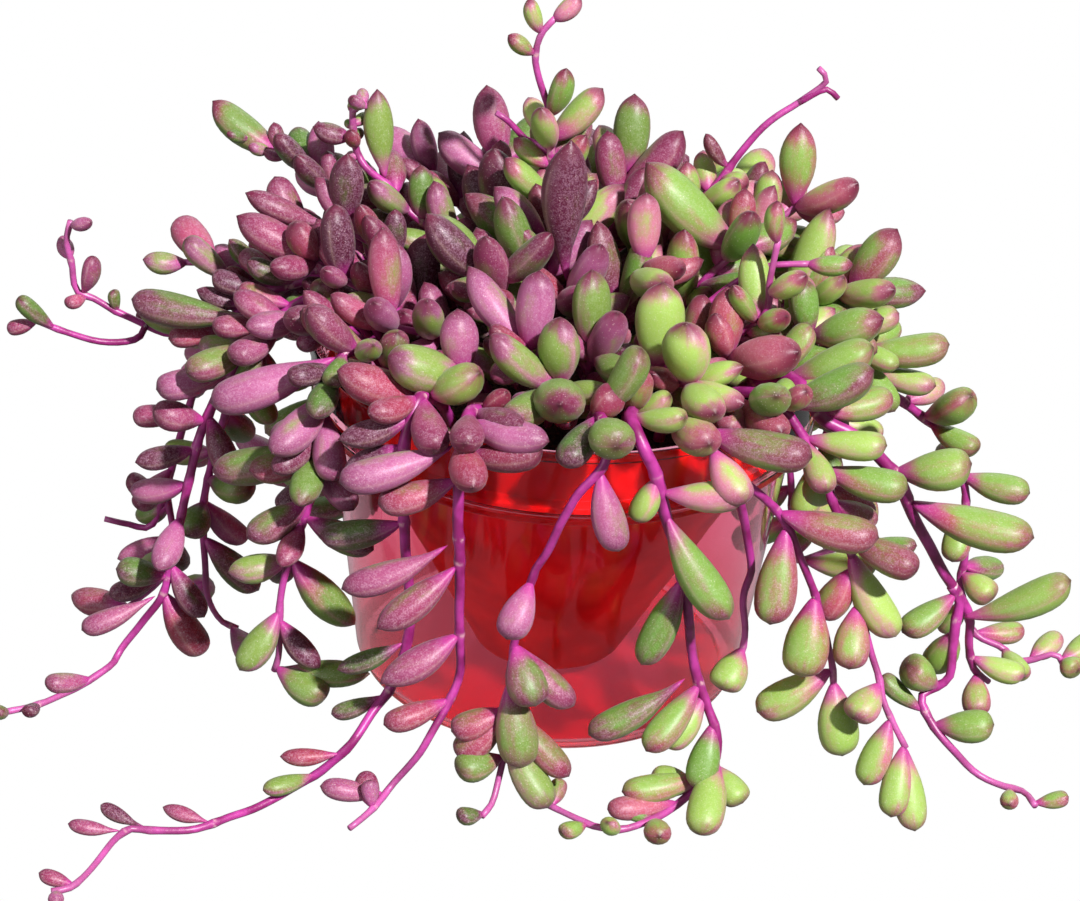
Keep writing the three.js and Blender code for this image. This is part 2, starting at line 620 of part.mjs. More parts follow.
// The way a leaf grows at a turn round its stem: level from an upright stem, and to both
// sides from one that lies down
function growthAt(place, turn, habit) {
  const side = new THREE.Vector3(Math.cos(turn), Math.sin(turn), SIDE_LIFT);
  side.addScaledVector(place.along, -side.dot(place.along)).normalize();
  const out = new THREE.Vector3(place.point.x, place.point.y, 0).normalize();
  return side
    .addScaledVector(place.along, habit.along)
    .addScaledVector(out, habit.out)
    .addScaledVector(new THREE.Vector3(0, 0, 1), habit.up)
    .normalize();
}

function tryLeaf(leaf, bars) {
  const candidate = raised(leaf);
  if (!candidate || !clearOfPot(candidate) || !clearOfBars(candidate, bars)) return null;
  bars.push(...barsOfLeaf(candidate));
  return candidate;
}

// A big leaf keeps its place, or is turned a little until it is clear of the rest
function placeLarge(node, path, [distance, tip, width], draw, bars) {
  const { point } = walk(path, Math.min(distance, path.length - LAST_ROOT));
  const reach = new THREE.Vector3(...tip).sub(point);
  for (let i = 0; i < TRIES; i += 1) {
    const nudge = new THREE.Vector3(draw() - 0.5, draw() - 0.5, draw() - 0.5);
    const axis = reach.clone().normalize().addScaledVector(nudge, NUDGE_PER_TRY * i).normalize();
    const shrink = 1 - LARGE_SHRINK * i;
    const length = reach.length() * shrink;
    const half = (width * shrink) / 2;
    const leaf = tryLeaf({ node, root: point.clone(), axis, length, half }, bars);
    if (leaf) return [leaf];
  }
  return [];
}

// One leaf grown by the rule at a place on its stem, turned on until it is clear
function growLeaf(node, place, turn, size, habit, draw, bars) {
  for (let i = 0; i < TRIES; i += 1) {
    const axis = growthAt(place, turn + i * TURN_PER_TRY + 0.5 * draw(), habit);
    const length = size * (1 - FILL_SHRINK * i);
    const half = (length * LEAF_WIDTH_SHARE * (0.94 + 0.12 * draw())) / 2;
    const leaf = tryLeaf({ node, root: place.point.clone(), axis, length, half }, bars);
    if (leaf) return [leaf];
  }
  return [];
}

// The leaves of one stretch, from its tip end back, each a golden turn on from the last
function placeStretch(node, path, [from, to, every, long], habit, draw, bars) {
  const placed = [];
  let turn = draw() * Math.PI * 2;
  let distance = Math.min(to, path.length - LAST_ROOT);
  while (distance > from) {
    const size = long * (0.82 + 0.36 * draw());
    turn += GOLDEN_TURN;
    placed.push(...growLeaf(node, walk(path, distance), turn, size, habit, draw, bars));
    distance -= every * (0.8 + 0.4 * draw());
  }
  return placed;
}

// A straight unit cylinder bent along the stations of a stem
function stemSolid(stations) {
  const steps = stations.length - 1;
  const geometry = new THREE.CylinderGeometry(1, 1, 1, STEM_SIDES, steps);
  const normal = new THREE.Vector3(0.8, 0.6, 0);
  const frames = stations.map((station, i) => {
    const before = stations[Math.max(i - 1, 0)].point;
    const after = stations[Math.min(i + 1, steps)].point;
    const along = after.clone().sub(before).normalize();
    normal.addScaledVector(along, -normal.dot(along)).normalize();
    return { across: normal.clone(), beside: normal.clone().cross(along) };
  });
  const corners = geometry.attributes.position;
  for (let i = 0; i < corners.count; i += 1) {
    const step = Math.round((corners.getY(i) + 0.5) * steps);
    const { point, radius } = stations[step];
    const corner = point.clone()
      .addScaledVector(frames[step].across, corners.getX(i) * radius)
      .addScaledVector(frames[step].beside, corners.getZ(i) * radius);
    corners.setXYZ(i, corner.x, corner.y, corner.z);
  }
  return solidOf(geometry);
}

// A coarse sphere whose rings are moved to a leaf's outline, a little flattened
function leafSolid(leaf) {
  const outline = leaf.length > LONG_LEAF ? LONG_OUTLINE : SHORT_OUTLINE;
  const geometry = new THREE.SphereGeometry(1, LEAF_SIDES, outline.length - 1);
  const wide = new THREE.Vector3(-leaf.axis.y, leaf.axis.x, 0).normalize();
  const deep = wide.clone().cross(leaf.axis);
  const corners = geometry.attributes.position;
  for (let i = 0; i < corners.count; i += 1) {
    const ring = Math.floor(i / (LEAF_SIDES + 1));
    const [share, width] = outline[ring];
    const level = Math.hypot(corners.getX(i), corners.getZ(i));
    const grow = level > 1e-6 ? (width * leaf.half) / level : 0;
    const corner = leaf.root.clone()
      .addScaledVector(leaf.axis, share * leaf.length)
      .addScaledVector(wide, corners.getX(i) * grow)
      .addScaledVector(deep, corners.getZ(i) * grow * LEAF_FLATNESS);
    corners.setXYZ(i, corner.x, corner.y, corner.z);
  }
  return solidOf(geometry);
}

// A strand down the back of the pot, which the eye meets only from behind
function backStrand({ turn, sway, end, run }, index) {
  const at = (radius, height) => {
    const angle = THREE.MathUtils.degToRad(turn + sway * (1 - height / 90));
    return [radius * Math.cos(angle), radius * Math.sin(angle), height];
  };
  const route = BACK_SHOULDER.map(([radius, height]) => at(radius, height));
  const [, top] = BACK_SHOULDER[BACK_SHOULDER.length - 1];
  for (let height = top - BACK_STEP; height > end + BACK_STEP / 2; height -= BACK_STEP) {
    route.push(at(BACK_RADIUS + BACK_FLARE * (top - height), height));
  }
  route.push(at(BACK_END_RADIUS, end));
  if (run > 0) route.push(at(BACK_END_RADIUS + run / 2, 2.4), at(BACK_END_RADIUS + run, 2));
  return {
    name: `strand_back_${index + 1}`,
    hole: at(BACK_HOLE_RADIUS, 90).slice(0, 2),
    thick: 2.2,
    route,
    fill: BACK_FILL,
    large: [],
  };
}

function crownShoot({ hole, end, large }, index) {
  const foot = [...hole, HOLE_HEIGHTS[HOLE_HEIGHTS.length - 1]];
  const shares = [CROWN_BEND.level, CROWN_BEND.level, CROWN_BEND.rise];
  const middle = foot.map((value, axis) => THREE.MathUtils.lerp(value, end[axis], shares[axis]));
  return {
    name: `shoot_crown_${index + 1}`,
    hole,
    thick: CROWN_THICK,
    route: [middle, end],
    fill: CROWN_FILL,
    large: large.map(([tipX, tipY, tipZ, width]) => [AT_THE_END, [tipX, tipY, tipZ], width]),
    crowded: true,
  };
}

const PLANTS = [
  ...STRANDS,
  ...TALL_SHOOTS.map((shoot) => ({ ...shoot, crowded: true })),
  ...CROWN_SHOOTS.map(crownShoot),
  ...BACK_STRANDS.map(backStrand),
];

// Lay every stem first, then every big leaf, then the rest, so that no leaf is placed
// without knowing what it must stay clear of
const bars = [];
for (const [node, plant] of PLANTS.entries()) {
  plant.stems = [stationsOf(pathThrough(rootedRoute(plant.hole, plant.route)), plant.thick / 2)];
  if (plant.branch) {
    const fork = nearestStation(plant.stems[0], plant.branch[0]).toArray();
    const route = pathThrough([fork, ...plant.branch.slice(1)]);
    plant.stems.push(stationsOf(route, plant.thick * BRANCH_SHARE));
  }
  plant.paths = plant.stems.map((stations) => pathAlong(stations.map(({ point }) => point)));
  plant.draw = drawsFrom(1000 + 77 * node);
  plant.leaves = [];
  for (const stations of plant.stems) {
    for (let i = 1; i < stations.length; i += 1) {
      const { point, radius } = stations[i];
      bars.push(barOf(node, stations[i - 1].point, point, radius + STEM_GAP, false));
    }
  }
}
for (const [node, plant] of PLANTS.entries()) {
  for (const leaf of plant.large) {
    plant.leaves.push(...placeLarge(node, plant.paths[0], leaf, plant.draw, bars));
  }
  for (const leaf of plant.largeOnBranch ?? []) {
    plant.leaves.push(...placeLarge(node, plant.paths[1], leaf, plant.draw, bars));
  }
}
for (const [node, plant] of PLANTS.entries()) {
  const habit = plant.crowded ? CROWDED : TRAILING;
  for (const stretch of plant.fill) {
    plant.leaves.push(...placeStretch(node, plant.paths[0], stretch, habit, plant.draw, bars));
  }
}

function plantSolid(plant) {
  let solid = stemSolid(plant.stems[0]);
  for (const stations of plant.stems.slice(1)) solid = solid.add(stemSolid(stations));
  for (const leaf of plant.leaves) solid = solid.add(leafSolid(leaf));
  return solid;
}

// Stems on the left are dusty ruby, those on the right mostly green
function plantMaterial(plant) {
  const { point } = plant.stems[0][plant.stems[0].length - 1];
  const green = THREE.MathUtils.smoothstep(point.x, -45, 45);
  const color = new THREE.Color(0x824a68).lerp(new THREE.Color(0x86a646), green);
  return new THREE.MeshStandardMaterial({ color, roughness: 0.45, metalness: 0 });
}

const group = new THREE.Group();
group.add(meshOf("pot_outer", outerPot(), POT_RED));
group.add(meshOf("pot_insert", insertPot(), INSERT_RED));
group.add(meshOf("potting_mix", pottingMix(PLANTS), MIX_BROWN));
for (const plant of PLANTS) group.add(meshOf(plant.name, plantSolid(plant), plantMaterial(plant)));

export default group;
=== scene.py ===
"""A potted ruby necklace: a trailing succulent in a see-through red plastic pot.

The file follows the plant as it is potted up: the pot, the insert that hangs in it, the potting
mix, the stems, their leaves, and then the table and the lights. Sizes are in millimetres in the
tables and turned into metres where a mesh is made.
"""
import math

import bmesh
import bpy
import numpy as np
from mathutils import Matrix, Vector, noise


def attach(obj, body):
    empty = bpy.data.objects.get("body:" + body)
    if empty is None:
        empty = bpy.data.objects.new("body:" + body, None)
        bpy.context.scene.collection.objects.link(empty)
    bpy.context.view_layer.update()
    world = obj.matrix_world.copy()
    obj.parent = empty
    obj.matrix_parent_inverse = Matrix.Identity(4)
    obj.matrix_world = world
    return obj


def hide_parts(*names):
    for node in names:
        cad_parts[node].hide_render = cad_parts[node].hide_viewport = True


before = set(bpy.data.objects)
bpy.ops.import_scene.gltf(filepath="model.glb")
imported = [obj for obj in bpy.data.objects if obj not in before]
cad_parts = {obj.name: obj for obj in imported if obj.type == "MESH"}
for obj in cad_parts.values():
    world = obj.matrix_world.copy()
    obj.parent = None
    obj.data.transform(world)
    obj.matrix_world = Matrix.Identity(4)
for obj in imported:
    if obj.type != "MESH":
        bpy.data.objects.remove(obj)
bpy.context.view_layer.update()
MM = 0.001

# The outer pot is one moulding of clear red plastic, a plain tapered cup under a collar that
# stands out over a step. It is turned from its wall's outline, and the plastic is thin enough
# that the table shows through both of its walls.
POT_HEIGHT = 84
RIM_RADIUS = 57.5
LIP_RADIUS = 56.6
COLLAR_FOOT = 66
BODY_TOP_RADIUS = 52.8
BASE_RADIUS = 45
BASE_ROUNDING = 3
WALL = 1.5
INSERT_INSET = 1
SHARP_OVER = math.radians(25)
EDGE_ROUNDING = 0.25
POT_STEPS = 144
LEDGE_HEIGHT = COLLAR_FOOT + WALL
POT_OUTLINE = [
    (0, 0.6), (BASE_RADIUS - 6, 0.6), (BASE_RADIUS - 5, 0), (BASE_RADIUS - BASE_ROUNDING, 0),
    (BASE_RADIUS - 0.9, 0.9), (BASE_RADIUS, BASE_ROUNDING), (BODY_TOP_RADIUS, COLLAR_FOOT),
    (LIP_RADIUS - 0.3, COLLAR_FOOT), (LIP_RADIUS, COLLAR_FOOT + 0.6),
    (RIM_RADIUS - 0.5, POT_HEIGHT - 2.4), (RIM_RADIUS, POT_HEIGHT - 2), (RIM_RADIUS, POT_HEIGHT),
    (RIM_RADIUS - WALL, POT_HEIGHT), (LIP_RADIUS - WALL, LEDGE_HEIGHT),
    (BODY_TOP_RADIUS - WALL, LEDGE_HEIGHT), (BASE_RADIUS - WALL, BASE_ROUNDING + 0.6),
    (BASE_RADIUS - WALL - INSERT_INSET, WALL + 0.6), (0, WALL + 0.6),
]


def srgb(red, green, blue):
    """A colour given from 0 to 255, as the linear colour that a shader takes."""
    return (*(((c / 255 + 0.055) / 1.055) ** 2.4 if c > 10 else c / 3295 for c in
              (red, green, blue)), 1)


def both_ways(how):
    """An operator that adds a Math node, and the same with its two sides changed over."""
    return (lambda value, other: value.maths(how, value, other),
            lambda value, other: value.maths(how, other, value))


class Value:
    """One output of a shader node. Arithmetic on it adds the Math nodes that work it out."""
    __add__, __radd__ = both_ways("ADD")
    __sub__, __rsub__ = both_ways("SUBTRACT")
    __mul__, __rmul__ = both_ways("MULTIPLY")
    __pow__, __rpow__ = both_ways("POWER")

    def __init__(self, finish, socket):
        self.finish, self.socket = finish, socket

    def maths(self, how, *numbers):
        return self.finish.node("ShaderNodeMath", {"operation": how}, dict(enumerate(numbers)))

    def ramp(self, low, high):
        """0 below low, 1 above high, and smooth between them."""
        return self.finish.node("ShaderNodeMapRange", {"interpolation_type": "SMOOTHSTEP"},
                                {0: self, 1: low, 2: high})


class Finish:
    """A node material while it is being put together."""

    def __init__(self, name):
        self.material = bpy.data.materials.new(name)
        self.material.use_nodes = True
        self.tree = self.material.node_tree
        self.tree.nodes.clear()

    def node(self, kind, settings=None, sockets=None, out=0):
        made = self.tree.nodes.new(kind)
        for name, value in (settings or {}).items():
            setattr(made, name, value)
        for name, value in (sockets or {}).items():
            if isinstance(value, Value):
                self.tree.links.new(value.socket, made.inputs[name])
            else:
                made.inputs[name].default_value = value
        return Value(self, made.outputs[out])

    def place(self):
        return self.node("ShaderNodeTexCoord", out="Object")

    def grain(self, size, detail, rough=0.55):
        """Cloudy noise whose clouds are about size millimetres across."""
        return self.node("ShaderNodeTexNoise", None, {
            "Vector": self.place(), "Scale": 1 / (size * MM), "Detail": detail,
            "Roughness": rough})

    def blend(self, share, one, other):
        """One colour at share 0, the other at share 1."""
        return self.node("ShaderNodeMix", {"data_type": "RGBA"}, {0: share, 6: one, 7: other},
                         out=2)

    def bump(self, height, strength, depth):
        return self.node("ShaderNodeBump", None, {
            "Height": height, "Strength": strength, "Distance": depth * MM})

    def shader(self, kind, sockets):
        return self.node(kind, None, sockets)

    def done(self, shader):
        end = self.tree.nodes.new("ShaderNodeOutputMaterial")
        self.tree.links.new(shader.socket, end.inputs["Surface"])
        return self.material


def turned(outline, steps):
    """A wall's outline of (radius, height) spun about the pot's axis, its sharp edges rounded."""
    bm = bmesh.new()
    corners = [bm.verts.new((radius * MM, 0, height * MM)) for radius, height in outline]
    for one, other in zip(corners, corners[1:]):
        bm.edges.new((one, other))
    bmesh.ops.spin(bm, geom=bm.verts[:] + bm.edges[:], cent=(0, 0, 0), axis=(0, 0, 1),
                   angle=math.tau, steps=steps, use_merge=True)
    bmesh.ops.remove_doubles(bm, verts=bm.verts, dist=0.002 * MM)
    bmesh.ops.recalc_face_normals(bm, faces=bm.faces)
    sharp = [edge for edge in bm.edges
             if len(edge.link_faces) == 2 and edge.calc_face_angle() > SHARP_OVER]
    bmesh.ops.bevel(bm, geom=sharp, offset=EDGE_ROUNDING * MM, affect="EDGES", segments=2,
                    profile=0.5, material=-1)
    return bm


def piece(name, bm, material, node=None):
    """Hands a finished mesh over as a piece of the pot plant."""
    mesh = bpy.data.meshes.new(name)
    bm.to_mesh(mesh)
    bm.free()
    mesh.materials.append(material)
    mesh.shade_smooth()
    made = bpy.data.objects.new(name, mesh)
    bpy.context.scene.collection.objects.link(made)
    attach(made, "root")
    if node:
        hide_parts(node)
    return made


def clear_red():
    """Clear pink plastic, redder towards its foot and cloudy at its thick base."""
    finish = Finish("clear_red_plastic")
    flow = finish.grain(14, 2)
    height = finish.node("ShaderNodeSeparateXYZ", None, {0: finish.place()}, out="Z")
    tint = finish.blend(flow, srgb(238, 166, 188), srgb(230, 146, 170))
    body = finish.shader("ShaderNodeBsdfPrincipled", {
        "Base Color": finish.blend(0.7 * (1 - height.ramp(4 * MM, 34 * MM)), tint,
                                   srgb(216, 108, 118)),
        "Roughness": 0.03, "IOR": 1.24, "Transmission Weight": 1.0,
        "Specular IOR Level": 0.4, "Normal": finish.bump(flow, 0.2, 0.4)})
    cloudy = finish.shader("ShaderNodeBsdfPrincipled", {
        "Base Color": finish.blend(flow, srgb(192, 42, 52), srgb(160, 28, 40)),
        "Roughness": 0.3})
    base = 0.4 * (1 - height.ramp(1.6 * MM, 3.4 * MM))
    body = finish.node("ShaderNodeMixShader", None, {0: base, 1: body, 2: cloudy})
    lamp_light = finish.shader("ShaderNodeBsdfTransparent", {"Color": srgb(250, 214, 218)})
    path = finish.node("ShaderNodeLightPath", out="Is Shadow Ray")
    return finish.done(finish.node("ShaderNodeMixShader", None, {0: path, 1: body, 2: lamp_light}))


piece("pot_outer_clear", turned(POT_OUTLINE, POT_STEPS), clear_red(), "pot_outer")

# The insert is a steep funnel of cloudy, deeper red plastic that hangs by its flange from the
# ledge behind the collar. Light that falls between the leaves makes it glow.
INSERT_BASE_RADIUS = 17
INSERT_FOOT = WALL + 4
INSERT_RIM = 79
INSERT_WALL = 1.2
INSERT_FLANGE = 1.5
FLANGE_FOOT = LEDGE_HEIGHT + 0.3
FLANGE_RADIUS = LIP_RADIUS - WALL - 0.7
INSERT_TOP_RADIUS = BODY_TOP_RADIUS - WALL - INSERT_INSET
INSERT_OUTLINE = [
    (0, INSERT_FOOT), (INSERT_BASE_RADIUS, INSERT_FOOT), (INSERT_TOP_RADIUS, FLANGE_FOOT),
    (FLANGE_RADIUS, FLANGE_FOOT), (FLANGE_RADIUS, FLANGE_FOOT + INSERT_FLANGE),
    (INSERT_TOP_RADIUS + INSERT_WALL, FLANGE_FOOT + INSERT_FLANGE),
    (INSERT_TOP_RADIUS + INSERT_WALL, INSERT_RIM), (INSERT_TOP_RADIUS, INSERT_RIM),
    (INSERT_TOP_RADIUS - 0.2, FLANGE_FOOT + INSERT_FLANGE),
    (INSERT_BASE_RADIUS - 0.5, INSERT_FOOT + INSERT_WALL), (0, INSERT_FOOT + INSERT_WALL),
]


def cloudy_red():
    """Cloudy red plastic that lets some light through."""
    finish = Finish("cloudy_red_plastic")
    cloud = finish.grain(18, 3)
    # The clouds of brighter and deeper red are partly the plastic's own cloudiness and partly painted
    # patches of light and shade.
    tint = finish.blend(cloud.ramp(0.35, 0.7), srgb(255, 62, 50), srgb(220, 22, 18))
    skin = finish.shader("ShaderNodeBsdfPrincipled", {
        "Base Color": tint, "Roughness": 0.4, "IOR": 1.46, "Specular IOR Level": 0.25,
        "Normal": finish.bump(finish.grain(5, 2), 0.2, 0.4)})
    glow = finish.shader("ShaderNodeBsdfTranslucent", {"Color": tint})
    return finish.done(finish.node("ShaderNodeMixShader", None, {0: 0.46, 1: skin, 2: glow}))


piece("pot_insert_cloudy", turned(INSERT_OUTLINE, POT_STEPS), cloudy_red(),
      "pot_insert")

# The potting mix is dark, crumbly and slightly heaped, pressed into the insert round the stems.
# It is a turned plug whose top is cut finer and pushed up and down into crumbs.
MIX_TOP = 74
MIX_CROWN = 1.2
MIX_PLAY = 0.4
MIX_STEPS = 72
CRUMB_HEIGHT = 1.1
CRUMBS_PER_METRE, GRAINS_PER_METRE, GRAIN_SHARE = 260, 620, 0.6
MIX_FOOT = INSERT_FOOT + INSERT_WALL + MIX_PLAY
MIX_OUTLINE = [
    (0, MIX_FOOT), (INSERT_BASE_RADIUS - 0.5 - MIX_PLAY, MIX_FOOT),
    (INSERT_TOP_RADIUS - INSERT_WALL, FLANGE_FOOT + INSERT_FLANGE),
    (INSERT_TOP_RADIUS - 0.2 - MIX_PLAY, MIX_TOP), (INSERT_TOP_RADIUS * 0.9, MIX_TOP + 0.4),
    (INSERT_TOP_RADIUS * 0.6, MIX_TOP + MIX_CROWN), (INSERT_TOP_RADIUS * 0.3, MIX_TOP + MIX_CROWN),
    (0, MIX_TOP + MIX_CROWN),
]


def crumbs():
    """The plug of mix, with its top cut finer and pushed into crumbs and grains."""
    bm = turned(MIX_OUTLINE, MIX_STEPS)
    top = [edge for edge in bm.edges
           if all(corner.co.z > (MIX_TOP - 0.5) * MM for corner in edge.verts)]
    bmesh.ops.subdivide_edges(bm, edges=top, cuts=3, use_grid_fill=True)
    bmesh.ops.triangulate(bm, faces=[face for face in bm.faces if len(face.verts) > 4])
    for corner in bm.verts:
        if corner.co.z > MIX_TOP * MM:
            lump = noise.noise(corner.co * CRUMBS_PER_METRE)
            lump += GRAIN_SHARE * noise.noise(corner.co * GRAINS_PER_METRE)
            corner.co.z += CRUMB_HEIGHT * MM * lump
    return bm


def mix_finish():
    finish = Finish("potting_mix_crumbs")
    fine = finish.grain(1.2, 4)
    tint = finish.blend(fine.ramp(0.35, 0.7), srgb(30, 20, 16), srgb(84, 60, 44))
    return finish.done(finish.shader("ShaderNodeBsdfPrincipled", {
        "Base Color": tint, "Roughness": 0.95, "Normal": finish.bump(fine, 0.9, 1.2)}))


piece("potting_mix_crumbs", crumbs(), mix_finish(), "potting_mix")

# The stems are thin, magenta and a little knotty, and each grows from its own hole in the mix.
# First come their routes: the strands over the rim and the tall shoots as they hang and stand in
# the photo, and the crown and the back by rule.
HOLE_HEIGHTS = [61, 68, 76]
STEM_STEP = 12.5
STEM_TIP_RADIUS = 0.6
BRANCH_SHARE = 0.36
FLOOR_GAP = 0.35
FINE_STEPS = 12
BACK_HOLE_RADIUS = 41
BACK_HOLE_HEIGHT = 90
BACK_RADIUS = 67
BACK_FLARE = 0.06
BACK_END_RADIUS = 72
BACK_STEP = 16
BACK_THICK = 2.2
FLOOR_HEIGHTS = (2.4, 2)
AT_THE_END = 400
BACK_SHOULDER = [(50, 87), (58.5, 90), (65, 79)]
BACK_FILL = [(24, AT_THE_END, 16, 18)]
CROWN_BEND = (0.35, 0.35, 0.6)
CROWN_FILL = [(17, AT_THE_END, 5.4, 18)]
CROWN_THICK = 2

